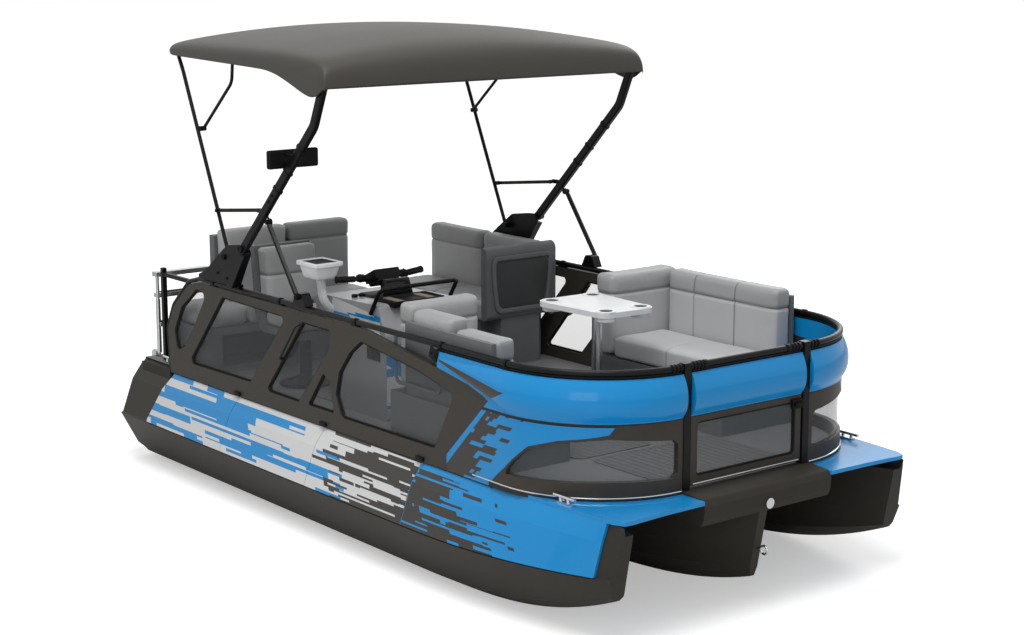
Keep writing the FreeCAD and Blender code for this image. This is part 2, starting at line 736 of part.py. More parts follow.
def rails():
    """Both top rails on their feet, the gate posts and the stern post with its short rail."""
    tubes = [quarter_rail(RAIL_Z)]
    tubes.append(box(GATE_X - GATE_POST_T / 2, GATE_X + GATE_POST_T / 2, POST_Y - POST_W / 2, POST_Y + POST_W / 2,
                     DECK_Z, RAIL_Z + 22))
    tubes.append(tube([(x, FENCE_Y, z) for x, z in BORDER], BORDER_R, [60, 90, 120, 80]))
    port = fuse(tubes)
    feet = [saddle(x, FENCE_Y, FENCE_TOP_Z, "x") for x in FENCE_FEET_X]
    feet += [saddle(x, FENCE_Y, BAND_TOP_Z, "x") for x in BAND_FEET_X]
    post = box(STERN_POST_X - STERN_POST_W / 2, STERN_POST_X + STERN_POST_W / 2, STERN_POST_Y - STERN_POST_W / 2,
               STERN_POST_Y + STERN_POST_W / 2, DECK_Z, FENCE_TOP_Z)
    bar = box(STERN_POST_X, STERN_BAR_X1, STERN_POST_Y - STERN_BAR_T / 2 - 2, STERN_POST_Y + STERN_BAR_T / 2 - 2,
              STERN_BAR_Z, STERN_BAR_Z + STERN_BAR_H)
    tie = box(STERN_BAR_X1 - 40, STERN_BAR_X1, -FENCE_Y, STERN_POST_Y, STERN_BAR_Z, STERN_BAR_Z + STERN_BAR_H)
    starboard = fuse([port_to_starboard(port), post, bar, tie])
    return Part.makeCompound([port, starboard] + feet + [port_to_starboard(foot) for foot in feet])


def gate_hole(x0, x1):
    """The gate's window as a prism along x."""
    side = GATE_HALF - GATE_FRAME_W
    low = GATE_Z0 + 45
    top = BAND_LOW_Z - 30
    return prism_x([(-side, low), (side, low), (side, top), (-side, top)], x0, x1, 25)


def gate_frame():
    """The swinging bow gate's lower frame with its window cut out, and the hinge barrels."""
    x0 = GATE_X - GATE_T / 2
    x1 = GATE_X + GATE_T / 2
    frame = box(x0, x1, -GATE_HALF, GATE_HALF, GATE_Z0, BAND_LOW_Z)
    return frame.cut(gate_hole(x0 - 5, x1 + 5))


def gate_hinges():
    """The gate's hinge leaves, each with a bored barrel behind the gate's starboard edge."""
    parts = []
    for z in HINGES_Z:
        barrel = cyl((HINGE_X, HINGE_Y, z), (0, 0, 1), HINGE_R, HINGE_H)
        leaf = box(HINGE_X, GATE_X - GATE_T / 2, HINGE_Y + 3, HINGE_Y + 45, z, z + HINGE_H)
        bore = cyl((HINGE_X, HINGE_Y, z - 1), (0, 0, 1), HINGE_PIN_R + RUN, HINGE_H + 2)
        parts.append(barrel.fuse(leaf).cut(bore))
    return Part.makeCompound(parts)


def gate_pins():
    """The lugs on the starboard gate post with the pins the gate turns on."""
    parts = []
    x1 = GATE_X - GATE_POST_T / 2
    y0 = -(POST_Y + POST_W / 2)
    for z in HINGES_Z:
        lug = box(HINGE_X - 10, x1, y0 + 4, HINGE_Y + 6, z - 14, z - RUN)
        lug = lug.fuse(cyl((HINGE_X, HINGE_Y, z - 14), (0, 0, 1), HINGE_R, 14 - RUN))
        parts.append(lug.fuse(cyl((HINGE_X, HINGE_Y, z - 14), (0, 0, 1), HINGE_PIN_R, HINGE_H + 14)))
    return Part.makeCompound(parts)


def gate_band():
    """The gate's painted upper panel with the same swell as its neighbours."""
    x0 = GATE_X - GATE_T / 2
    x1 = GATE_X + GATE_T / 2
    panel = box(x0, x1, -GATE_HALF, GATE_HALF, BAND_LOW_Z, BAND_TOP_Z)
    front = swell_face((x1 + 2, -GATE_HALF, 0), (1, 0, 0), 1.0, 0.0)
    front = Part.Face(front).extrude(V(0, 2 * GATE_HALF, 0))
    skin = box(x1 - 1, x1 + 2, -GATE_HALF, GATE_HALF, SWELL_Z, SWELL_Z + SWELL[-1][1])
    return fuse([panel, skin, front])


def gate_rail():
    """The rail along the gate's top, on two feet."""
    bar = rod((GATE_X, -GATE_HALF, RAIL_Z), (GATE_X, GATE_HALF, RAIL_Z), RAIL_R)
    feet = [saddle(GATE_X, y, BAND_TOP_Z, "y") for y in (-GATE_FOOT_Y, GATE_FOOT_Y)]
    return Part.makeCompound([bar] + feet)


def strap(points, width):
    """The outline of a flat strip of even width along a path of x-z points."""
    left = []
    right = []
    n = len(points)
    for i in range(n):
        p = points[i]
        a = points[max(i - 1, 0)]
        b = points[min(i + 1, n - 1)]
        d0 = V(p[0] - a[0], 0, p[1] - a[1])
        d1 = V(b[0] - p[0], 0, b[1] - p[1])
        if i == 0:
            d0 = d1
        if i == n - 1:
            d1 = d0
        d0.normalize()
        d1.normalize()
        m = (V(-d0.z, 0, d0.x) + V(-d1.z, 0, d1.x)).normalize()
        k = width / 2 / (m.x * -d0.z + m.z * d0.x)
        left.append((p[0] + m.x * k, p[1] + m.z * k))
        right.append((p[0] - m.x * k, p[1] - m.z * k))
    return left + right[::-1]


def foot_plate():
    """The port plate on the fence top that carries the arch and the rear bow, with its pins."""
    px, pz = ARCH_PIVOT
    rx, rz = REAR_PIVOT
    base = RAIL_Z + RAIL_R + TOUCH
    arch_in = ARCH_Y - ARCH_T / 2
    plate = prism_y([(-1530, base), (-1040, base), (-895, 1560), (-930, 1606), (-1000, 1602), (-1170, 1578),
                     (-1310, 1482), (-1440, 1388), (-1530, 1352)], PLATE_Y0, PLATE_Y1, [4, 4, 14, 18, 30, 30, 60, 60, 8])
    leg = prism_y([(-1125, base), (-1060, base), (-900, 1545), (-955, 1553)], PLATE_Y0, ARCH_Y + ARCH_T / 2 - 2, 3)
    leg = leg.cut(cyl((px, PLATE_Y1, pz), (0, 1, 0), ARCH_W / 2 + 5, 100))
    seat = box(-1500, -1050, FENCE_Y - 12, PLATE_Y1, base, base + 18)
    boss = cyl((px, PLATE_Y1 - 1, pz), (0, 1, 0), 22, arch_in - TOUCH - PLATE_Y1 + 1)
    pin = cyl((px, PLATE_Y0, pz), (0, 1, 0), PIVOT_PIN_R, ARCH_Y + ARCH_T / 2 + 4 - PLATE_Y0)
    rear_pin = cyl((rx, REAR_Y - REAR_R - 3, rz), (0, 1, 0), 6.0, PLATE_Y1 - REAR_Y + REAR_R + 3)
    return fuse([plate, leg, seat, boss, pin, rear_pin])


def bimini_feet():
    """The foot plates and the prop brackets on both rails."""
    base = RAIL_Z + RAIL_R + TOUCH
    bracket = prism_y([(-400, base), (-262, base), (-300, 1402), (-362, 1402)], FENCE_Y - 14, PROP_Y - PROP_EYE / 2 - TOUCH,
                      [3, 3, 18, 18])
    return Part.makeCompound(both(foot_plate()).Solids + both(bracket).Solids)


def arch_leg():
    """One leg of the main arch: a flattened tube with a bend near its top."""
    y0 = ARCH_Y - ARCH_T / 2
    y1 = ARCH_Y + ARCH_T / 2
    run = V(ARCH_BEND[0] - ARCH_PIVOT[0], 0, ARCH_BEND[1] - ARCH_PIVOT[1]).normalize() * (ARCH_W / 2)
    start = (ARCH_PIVOT[0] - run.x, ARCH_PIVOT[1] - run.z)
    outline = strap([start, ARCH_BEND, ARCH_TOP], ARCH_W)
    inner = ARCH_BEND_R - ARCH_W / 2
    outer = ARCH_BEND_R + ARCH_W / 2
    end_r = ARCH_W / 2 - 1
    leg = prism_y(outline, y0, y1, [end_r, inner, 0, 0, outer, end_r])
    leg = leg.makeFillet(9, [e for e in leg.Edges if e.BoundBox.YLength < 0.01])
    prop_x, prop_z = PROP_TOP
    lug_y1 = PROP_Y - PROP_EYE / 2 - TOUCH
    lug = cyl((prop_x, y0, prop_z), (0, 1, 0), 20, lug_y1 - y0)
    root = rod((prop_x, (y0 + lug_y1) / 2, prop_z), (prop_x - 44, (y0 + lug_y1) / 2, prop_z + 44), (lug_y1 - y0) / 2)
    pin = cyl((prop_x, y0, prop_z), (0, 1, 0), PROP_PIN_R, PROP_Y + PROP_EYE / 2 + 3 - y0)
    link_x, link_z = LINK_END
    stub = cyl((link_x, LINK_Y1 + TOUCH, link_z), (0, 1, 0), 8, ARCH_Y - LINK_Y1 - TOUCH)
    ear = prism_y([(link_x - 14, link_z - 12), (link_x + 90, link_z - 12), (link_x + 90, link_z + 14),
                   (link_x - 14, link_z + 14)], y0, ARCH_Y, 6)
    body = fuse([leg, lug, root, pin, stub, ear])
    return body.cut(cyl((ARCH_PIVOT[0], y0 - 1, ARCH_PIVOT[1]), (0, 1, 0), PIVOT_PIN_R + RUN, ARCH_T + 2))


def arch():
    """The main arch: two legs and the cross tube under the canopy's front edge."""
    leg = arch_leg()
    bar = rod((ARCH_BAR[0], -ARCH_Y, ARCH_BAR[1]), (ARCH_BAR[0], ARCH_Y, ARCH_BAR[1]), ARCH_BAR_R)
    return fuse([leg, port_to_starboard(leg), bar])


def crowned_bow(pivot, knee, top, y, r, knee_r, crown):
    """A thin bow: two bent legs and a crossbar that rises to the middle."""
    half = [(pivot[0], y, pivot[1]), (knee[0], y, knee[1]), (top[0], y, top[1]),
            (top[0], 0.6 * y, top[1] + 0.75 * crown)]
    points = half + [(top[0], 0, top[1] + crown)] + [(x, -yy, z) for x, yy, z in reversed(half)]
    return tube(points, r, [knee_r, 45, 1200, 2500, 1200, 45, knee_r])


def rear_bow():
    """The rear bow with its pivot eyes and the bosses that carry the mid bow and the lock links."""
    parts = [crowned_bow(REAR_PIVOT, REAR_KNEE, REAR_TOP, REAR_Y, REAR_R, 120, REAR_CROWN)]
    outer = PLATE_Y0 - TOUCH
    for side in (1, -1):
        eye = cyl((REAR_PIVOT[0], side * (REAR_Y - REAR_R - 3), REAR_PIVOT[1]), (0, side, 0), 18,
                  outer - REAR_Y + REAR_R + 3)
        mid = cyl((MID_PIVOT[0], side * (MID_Y + MID_EYE / 2 + TOUCH), MID_PIVOT[1]), (0, side, 0), 16,
                  REAR_Y - MID_Y - MID_EYE / 2)
        mid_pin = cyl((MID_PIVOT[0], side * (MID_Y - MID_EYE / 2 - 3), MID_PIVOT[1]), (0, side, 0), 5, 40)
        link = cyl((LINK_PIVOT[0], side * REAR_Y, LINK_PIVOT[1]), (0, side, 0), 14, LINK_Y0 - TOUCH - REAR_Y)
        link_pin = cyl((LINK_PIVOT[0], side * REAR_Y, LINK_PIVOT[1]), (0, side, 0), 5, LINK_Y1 + 2 - REAR_Y)
        parts += [eye, mid, mid_pin, link, link_pin]
    shape = fuse(parts)
    for side in (1, -1):
        shape = shape.cut(cyl((REAR_PIVOT[0], side * (REAR_Y - 40), REAR_PIVOT[1]), (0, side, 0), 6 + RUN, 80))
    return shape


def mid_bow():
    """The short middle bow that stands on the rear bow."""
    parts = [crowned_bow(MID_PIVOT, MID_KNEE, MID_TOP, MID_Y, MID_R, 90, MID_CROWN)]
    for side in (1, -1):
        parts.append(cyl((MID_PIVOT[0], side * (MID_Y - MID_EYE / 2), MID_PIVOT[1]), (0, side, 0), 15, MID_EYE))
    shape = fuse(parts)
    for side in (1, -1):
        shape = shape.cut(cyl((MID_PIVOT[0], side * (MID_Y - 30), MID_PIVOT[1]), (0, side, 0), 5 + RUN, 60))
    return shape


def props():
    """The two front props between the arch's lugs and the rail brackets."""
    y0 = PROP_Y - PROP_EYE / 2
    bar = rod((PROP_TOP[0], PROP_Y, PROP_TOP[1]), (PROP_FOOT[0], PROP_Y, PROP_FOOT[1]), PROP_R * 0.75)
    eye = cyl((PROP_TOP[0], y0, PROP_TOP[1]), (0, 1, 0), 16, PROP_EYE)
    foot = cyl((PROP_FOOT[0], y0, PROP_FOOT[1]), (0, 1, 0), 15, PROP_EYE)
    shape = fuse([bar, eye, foot]).cut(cyl((PROP_TOP[0], y0 - 1, PROP_TOP[1]), (0, 1, 0), PROP_PIN_R + RUN, PROP_EYE + 2))
    return both(shape)


def links():
    """The two lock links between the rear bow and the arch."""
    lx, lz = LINK_PIVOT
    ex, ez = LINK_END
    bar = prism_y(strap([LINK_PIVOT, LINK_END], 22), LINK_Y0, LINK_Y1)
    eye = cyl((lx, LINK_Y0, lz), (0, 1, 0), 14, LINK_Y1 - LINK_Y0)
    end = cyl((ex, LINK_Y0, ez), (0, 1, 0), 14, LINK_Y1 - LINK_Y0)
    shape = fuse([bar, eye, end]).cut(cyl((lx, LINK_Y0 - 1, lz), (0, 1, 0), 5 + RUN, 20))
    return both(shape)


def mirror():
    """The rear-view mirror on two short arms behind the starboard arch leg."""
    head = box(MIRROR_X - 18, MIRROR_X + 18, MIRROR_Y - 168, MIRROR_Y + 168, MIRROR_Z - 54, MIRROR_Z + 54)
    head = head.makeFillet(12, head.Edges)
    arms = [rod((MIRROR_X, -ARCH_Y, MIRROR_Z + dz), (MIRROR_X + 90, -ARCH_Y, MIRROR_Z + dz), 8) for dz in (-25, 25)]
    return fuse([head] + arms)


def canopy_section(x, half, low, edge, mid):
    """One cross section of the canopy as a closed outline."""
    rise = mid - edge
    right = [(half, low), (half, edge - 25), (half - 22, edge), (0.6 * half, edge + 0.75 * rise)]
    ring = right + [(0, mid)] + [(-y, z) for y, z in reversed(right)]
    return [V(x, y, z) for y, z in ring]


def canopy():
    """The stretched canopy: crowned top, side skirts with front gussets, and a front hem."""
    outer = loft([canopy_section(*row) for row in CANOPY])
    inner_rows = []
    for i, (x, half, low, edge, mid) in enumerate(CANOPY):
        shift = CANOPY_T if i in (0, len(CANOPY) - 1) else 0
        inner_rows.append(canopy_section(x - shift, half - CANOPY_T, low - 80, edge - CANOPY_T, mid - CANOPY_T))
    return outer.cut(loft(inner_rows))


def chair_base():
    """The fixed foot and post of the helm chair."""
    disc = cyl((CHAIR_X, CHAIR_Y, DECK_Z), (0, 0, 1), 165, 14)
    skirt = cone((CHAIR_X, CHAIR_Y, DECK_Z + 14), (0, 0, 1), 110, 45, 50)
    post = cyl((CHAIR_X, CHAIR_Y, DECK_Z), (0, 0, 1), 38, CHAIR_POST_H)
    return fuse([disc, skirt, post])


def chair_shell():
    """The turning shell of the helm chair, under the seat and behind the back."""
    z = DECK_Z + CHAIR_POST_H + TOUCH
    x = CHAIR_X
    hub = cyl((x, CHAIR_Y, z), (0, 0, 1), 70, 30)
    pan = prism_z([(x - 215, CHAIR_Y - CHAIR_HALF), (x + 235, CHAIR_Y - CHAIR_HALF + 10), (x + 235, CHAIR_Y + CHAIR_HALF - 10),
                   (x - 215, CHAIR_Y + CHAIR_HALF)], z + 30, z + 75, 60)
    back = prism_y([(x - 255, z + 130), (x - 190, z + 40), (x - 170, z + 60), (x - 215, z + 130), (x - 255, z + 560),
                    (x - 298, z + 560)], CHAIR_Y - CHAIR_HALF, CHAIR_Y + CHAIR_HALF, [12, 8, 5, 12, 6, 14])
    return fuse([hub, pan, back])


def chair_cushion():
    """Seat and back cushions of the helm chair."""
    z = DECK_Z + CHAIR_POST_H + TOUCH
    x = CHAIR_X
    half = CHAIR_HALF - 3
    seat = soft(box(x - 168, x + 235, CHAIR_Y - half, CHAIR_Y + half, z + 75 + TOUCH, z + 175), 30)
    back = prism_y([(x - 219.3, z + 180), (x - 112, z + 180), (x - 152, z + 566), (x - 255.2, z + 566)],
                   CHAIR_Y - half, CHAIR_Y + half)
    return Part.makeCompound([seat, soft(back, 25)])


def console():
    """The helm console: a tall moulding that leans aft over the driver's knees."""
    return prism_y(CONSOLE_SIDE, CONSOLE_Y0, CONSOLE_Y1, [10, 20, 60, 40, 20, 20, 20, 60, 60])


def helm_axis():
    """The unit axis of the steering column, leaning aft."""
    a = math.radians(HELM_TILT)
    return (-math.sin(a), 0, math.cos(a))


def helm_bar():
    """The handlebar with its pad, on the steering column."""
    axis = helm_axis()
    stem = cyl(HELM_P, axis, HELM_STEM_R, HELM_STEM_L)
    top = V(*HELM_P) + V(*axis) * HELM_STEM_L
    pad = soft(box(-60, 60, -75, 75, 0, 40), 12)
    pad.rotate(V(0, 0, 0), V(0, 1, 0), -HELM_TILT)
    pad.translate(top)
    bars = []
    for s in (1, -1):
        bars.append(tube([(top.x, top.y + s * 30, top.z + 20), (top.x - 10, top.y + s * 120, top.z + 40),
                          (top.x - 55, top.y + s * 300, top.z + 45)], 13, 40))
    return fuse([stem, pad] + bars)


def console_trim():
    """The hoop rail round the console's front and the cup tray at its aft corner."""
    y0 = CONSOLE_Y0 - 10
    y1 = CONSOLE_Y1 + 10
    rail = tube([(-40, y0, 1290), (60, y0, 1440), (130, y0 + 65, 1460), (130, y1 - 65, 1460), (60, y1, 1440),
                 (-40, y1, 1290)], 12, [60, 30, 30, 60])
    tray = box(-520, -380, -965, -825, 1480, 1550)
    tray = tray.makeFillet(20, upright(tray, 60))
    tray = tray.cut(box(-508, -392, -953, -837, 1492, 1551))
    arm = tube([(-450, -900, 1485), (-450, -890, 1330), (-470, CONSOLE_Y0 + 5, 1240)], 13, 40)
    return Part.makeCompound([rail, fuse([tray, arm])])


def shell_base(x0, x1, y0, y1, z_top):
    """A hollow seat base, open at the top under its seat."""
    out = box(x0, x1, y0, y1, DECK_Z, z_top)
    out = out.makeFillet(30, upright(out, 100))
    w = BASE_WALL
    return out.cut(box(x0 + w, x1 - w, y0 + w, y1 - w, DECK_Z + 20, z_top + 1))


def lounge_base():
    """The port lounge's hollow base with a solid end under the aft return."""
    main = shell_base(LOUNGE_X0, LOUNGE_X1, LOUNGE_Y0, LOUNGE_Y1, SEAT_Z)
    tail = box(LOUNGE_TAIL_X, LOUNGE_X0 + BASE_WALL, LOUNGE_Y0, LOUNGE_Y1, DECK_Z, SEAT_Z)
    y1 = LOUNGE_Y1 - BOARD_IN
    spine = box(LOUNGE_X0, LOUNGE_X1 - 20, y1 - BOARD_T, y1, SEAT_Z - 1, BACK_TOP_Z - 60)
    return fuse([main, tail, spine])


def lounge_seat():
    """The port lounge's lifting seat cushion."""
    y1 = LOUNGE_Y1 - BOARD_IN - BOARD_T - BACK_T - LID_GAP
    return soft(box(LOUNGE_X0 + 4, LOUNGE_X1 - 5, LOUNGE_Y0 - 5, y1, SEAT_Z + TOUCH, SEAT_Z + CUSHION_T), 25)


def lounge_back():
    """The port lounge's back cushions, along the side and across the aft end."""
    y1 = LOUNGE_Y1 - BOARD_IN - BOARD_T - TOUCH
    side = soft(box(LOUNGE_X0 + 8, LOUNGE_X1, y1 - BACK_T, y1, SEAT_Z + TOUCH, BACK_TOP_Z), 30)
    tail = soft(box(LOUNGE_TAIL_X + 10, LOUNGE_X0 - 1, LOUNGE_Y0, y1, SEAT_Z + TOUCH, BACK_TOP_Z), 30)
    return Part.makeCompound([side, tail])


def bench_base():
    """The starboard bench's hollow base with the board behind its backs."""
    main = shell_base(BENCH_X0, BENCH_X1, BENCH_Y0, BENCH_Y1, SEAT_Z)
    tail = box(BENCH_TAIL_X, BENCH_X0 + BASE_WALL, BENCH_Y0, BENCH_Y1, DECK_Z, SEAT_Z)
    y0 = BENCH_Y0 + BOARD_IN
    spine = box(BENCH_X0, BENCH_X1 - 20, y0, y0 + BOARD_T, SEAT_Z - 1, BACK_TOP_Z - 100)
    return fuse([main, tail, spine])


def bench_seat():
    """The starboard bench's lifting seat cushion."""
    y0 = BENCH_Y0 + BOARD_IN + BOARD_T + BACK_T + LID_GAP
    return soft(box(BENCH_X0 + 4, BENCH_X1 - 5, y0, BENCH_Y1 + 5, SEAT_Z + TOUCH, SEAT_Z + CUSHION_T), 25)


def bench_back():
    """The starboard bench's back cushions."""
    y0 = BENCH_Y0 + BOARD_IN + BOARD_T + TOUCH
    tail = soft(box(BENCH_TAIL_X + 2, BENCH_X0 - 1, y0, BENCH_Y1, SEAT_Z + TOUCH, BACK_TOP_Z), 30)
    one = soft(box(BENCH_X0 + 8, BENCH_SPLIT_X - 2, y0, y0 + BACK_T, SEAT_Z + TOUCH, BACK_TOP_Z - 20), 30)
    two = soft(box(BENCH_SPLIT_X + 2, BENCH_X1, y0, y0 + BACK_T, SEAT_Z + TOUCH, BACK_TOP_Z - 70), 30)
    return Part.makeCompound([tail, one, two])


def companion_base():
    """The companion seat's base, back board and the tall shell across its forward end."""
    base = box(COMP_X0 + 60, COMP_X1 - 150, COMP_Y0 + 60, COMP_Y1, DECK_Z, SEAT_Z)
    end = prism_y([(COMP_X1 - COMP_END_T, 985), (COMP_X1, 985), (COMP_X1, BACK_TOP_Z - 10),
                   (COMP_X1 - COMP_END_T, BACK_TOP_Z - 10)], COMP_Y0, COMP_Y1, [10, 40, 50, 10])
    leg = box(COMP_X1 - 151, COMP_X1 - 20, COMP_Y0 + 130, COMP_Y1 - 120, DECK_Z, SEAT_Z)
    riser = box(COMP_X1 - COMP_END_T, COMP_X1 - 20, COMP_Y0 + 130, COMP_Y1 - 120, SEAT_Z - 1, 995)
    spine = box(COMP_X0 + 10, COMP_X1 - 20, COMP_Y1 - 30, COMP_Y1, SEAT_Z - 1, BACK_TOP_Z - 40)
    return fuse([base, end, leg, riser, spine])


def companion_cushion():
    """The companion seat's cushions."""
    y1 = COMP_Y1 - 30 - TOUCH
    x1 = COMP_X1 - COMP_END_T - TOUCH
    seat = soft(box(COMP_X0 + 20, x1, COMP_Y0 + 10, y1 - BACK_T - TOUCH, SEAT_Z + TOUCH, SEAT_Z + CUSHION_T), 25)
    mid = (COMP_X0 + COMP_X1) / 2
    backs = [soft(box(a, b, y1 - BACK_T, y1, SEAT_Z + TOUCH, BACK_TOP_Z), 30)
             for a, b in ((COMP_X0, mid - 2), (mid + 2, x1))]
    return Part.makeCompound([seat] + backs)


def stern_base():
    """The stern bench's hollow base, open at the front, with the board behind its back."""
    x0 = STERN_SEAT_X0 + STERN_BOARD_T
    out = box(x0 - 1, STERN_SEAT_X1, STERN_SEAT_Y0, STERN_SEAT_Y1, DECK_Z, SEAT_Z)
    inside = box(x0 + 29, STERN_SEAT_X1 - 30, STERN_SEAT_Y0 + 30, STERN_SEAT_Y1 - 30, DECK_Z + 10, SEAT_Z + 1)
    mouth = box(STERN_SEAT_X1 - 40, STERN_SEAT_X1 + 10, STERN_SEAT_Y0 + 120, STERN_SEAT_Y0 + 620, DECK_Z + 40, SEAT_Z - 50)
    board = box(STERN_SEAT_X0, x0, STERN_BACK_Y0, STERN_SEAT_Y1, DECK_Z, STERN_BACK_TOP_Z - 60)
    return fuse([out.cut(inside).cut(mouth), board])


def stern_seat():
    """The stern bench's lifting seat cushion."""
    x0 = STERN_SEAT_X0 + STERN_BOARD_T + BACK_T + LID_GAP
    y0 = STERN_BACK_Y0 + STERN_LID_GAP
    return soft(box(x0, STERN_SEAT_X1 + 15, y0, STERN_SEAT_Y1 - 2, SEAT_Z + TOUCH, SEAT_Z + CUSHION_T), 25)


def stern_back():
    """The stern bench's two back cushions and the fixed seat cushion beside them."""
    x0 = STERN_SEAT_X0 + STERN_BOARD_T + TOUCH
    mid = (STERN_BACK_Y0 + STERN_SEAT_Y1) / 2
    side = soft(box(x0, STERN_SEAT_X1 + 15, STERN_SEAT_Y0 + 2, STERN_BACK_Y0 - 1, SEAT_Z + TOUCH, SEAT_Z + CUSHION_T), 25)
    backs = [soft(box(x0, x0 + BACK_T, a, b, SEAT_Z + TOUCH, STERN_BACK_TOP_Z), 30)
             for a, b in ((STERN_BACK_Y0, mid - 2), (mid + 2, STERN_SEAT_Y1))]
    return Part.makeCompound(backs + [side])


def table():
    """The table's top with four cup holes."""
    top = prism_z([(520, -60), (1085, -20), (1110, 350), (530, 385)], TABLE_Z, TABLE_Z + TABLE_T, 60)
    for x, y in ((590, 10), (1030, 40), (1040, 290), (600, 310)):
        top = top.cut(cyl((x, y, TABLE_Z + 8), (0, 0, 1), 38, TABLE_T))
    return top


def table_post():
    """The table's post with its floor flange."""
    flange = cyl((TABLE_X, TABLE_Y, DECK_Z), (0, 0, 1), 90, 12)
    return fuse([flange, cyl((TABLE_X, TABLE_Y, DECK_Z), (0, 0, 1), 30, TABLE_Z - DECK_Z)])


def pump():
    """The jet pump: housing, stator, tapering outlet, and the pins its nozzle and bucket turn on."""
    bore = PUMP_R - PUMP_WALL
    along = PUMP_X1 - PUMP_X0
    aft = (-1, 0, 0)
    wall = cyl((PUMP_X0, 0, PUMP_Z), (1, 0, 0), PUMP_R, along).cut(cyl((PUMP_X0 - 1, 0, PUMP_Z), (1, 0, 0), bore, along + 2))
    taper = PUMP_X0 - VENTURI_X
    venturi = cone((PUMP_X0, 0, PUMP_Z), aft, PUMP_R, EXIT_R, taper)
    venturi = venturi.cut(cone((PUMP_X0, 0, PUMP_Z), aft, bore, EXIT_R - EXIT_WALL, taper))
    outlet = cyl((VENTURI_X, 0, PUMP_Z), aft, EXIT_R, VENTURI_X - EXIT_X)
    outlet = outlet.cut(cyl((VENTURI_X + 1, 0, PUMP_Z), aft, EXIT_R - EXIT_WALL, VENTURI_X - EXIT_X + 2))
    hub = cyl((PUMP_X0, 0, PUMP_Z), (1, 0, 0), STATOR_R, STATOR_X - PUMP_X0)
    tail = cone((PUMP_X0, 0, PUMP_Z), aft, STATOR_R, 8, 45)
    parts = [wall, venturi, outlet, hub, tail]
    for i in range(6):
        vane = box(PUMP_X0 + 5, STATOR_X - 5, -3, 3, PUMP_Z + STATOR_R - 4, PUMP_Z + PUMP_R - 5)
        vane.rotate(V(0, 0, PUMP_Z), V(1, 0, 0), 60 * i)
        parts.append(vane)
    for s in (1, -1):
        z_in = PUMP_Z + s * (NOZZLE_LUG_Z + TOUCH)
        ear = box(NOZZLE_PIVOT_X - 13, PUMP_X0 + 5, -14, 14, min(z_in, z_in + s * 14), max(z_in, z_in + s * 14))
        parts.append(ear)
        parts.append(cyl((NOZZLE_PIVOT_X, 0, z_in + s * 14), (0, 0, -s), NOZZLE_PIN_R, 24))
        arm_y = BUCKET_ARM_Y + BUCKET_ARM_T + 4
        parts.append(cyl((BUCKET_X, s * 55, PUMP_Z), (0, s, 0), BUCKET_PIN_R, arm_y - 55))
        parts.append(cyl((BUCKET_X, s * 55, PUMP_Z), (0, s, 0), 18, BUCKET_ARM_Y - TOUCH - 55))
    shape = fuse(parts)
    shape = shape.cut(cone((PUMP_X0, 0, PUMP_Z), aft, bore, EXIT_R - EXIT_WALL, taper).cut(tail))
    return shape.cut(cyl((STATOR_X + 1, 0, PUMP_Z), aft, SHAFT_R + RUN, 36))


def impeller():
    """The jet pump's impeller with pitched blades on its shaft."""
    length = 50.0
    hub = cyl((IMPELLER_X, 0, PUMP_Z), (1, 0, 0), IMPELLER_HUB_R, length)
    nose = Part.makeSphere(IMPELLER_HUB_R, V(IMPELLER_X + length, 0, PUMP_Z))
    shaft = cyl((IMPELLER_X, 0, PUMP_Z), (-1, 0, 0), SHAFT_R, 34)
    parts = [hub, nose, shaft]
    r0 = IMPELLER_HUB_R - 4
    r1 = PUMP_R - PUMP_WALL - 5
    w = 2.5
    for i in range(4):
        rows = []
        for k in range(5):
            u = k / 4
            x = IMPELLER_X + 4 + 42 * u
            a = math.radians(90 * i + 55 * u)
            c = math.cos(a)
            s = math.sin(a)
            rows.append([V(x, r0 * c - w * s, PUMP_Z + r0 * s + w * c), V(x, r1 * c - w * s, PUMP_Z + r1 * s + w * c),
                         V(x, r1 * c + w * s, PUMP_Z + r1 * s - w * c), V(x, r0 * c + w * s, PUMP_Z + r0 * s - w * c)])
        parts.append(loft(rows, True))
    return fuse(parts)


def nozzle():
    """The steering nozzle that swings behind the pump."""
    aft = (-1, 0, 0)
    r0, r1 = NOZZLE_IN
    length = NOZZLE_X1 - NOZZLE_X0
    outer = cone((NOZZLE_X1, 0, PUMP_Z), aft, r0 + NOZZLE_WALL, r1 + NOZZLE_WALL, length)
    slope = (r0 - r1) / length
    inner = cone((NOZZLE_X1 + 1, 0, PUMP_Z), aft, r0 + slope, r1 - slope, length + 2)
    mouth = cyl((NOZZLE_X1 + 20, 0, PUMP_Z), aft, r0, 20)
    parts = [outer]
    for s in (1, -1):
        parts.append(cyl((NOZZLE_PIVOT_X, 0, PUMP_Z), (0, 0, s), 14, NOZZLE_LUG_Z))
    shape = fuse(parts).cut(inner).cut(mouth)
    for s in (1, -1):
        shape = shape.cut(cyl((NOZZLE_PIVOT_X, 0, PUMP_Z + s * (r0 + 1)), (0, 0, s), NOZZLE_PIN_R + RUN, 40))
    return shape


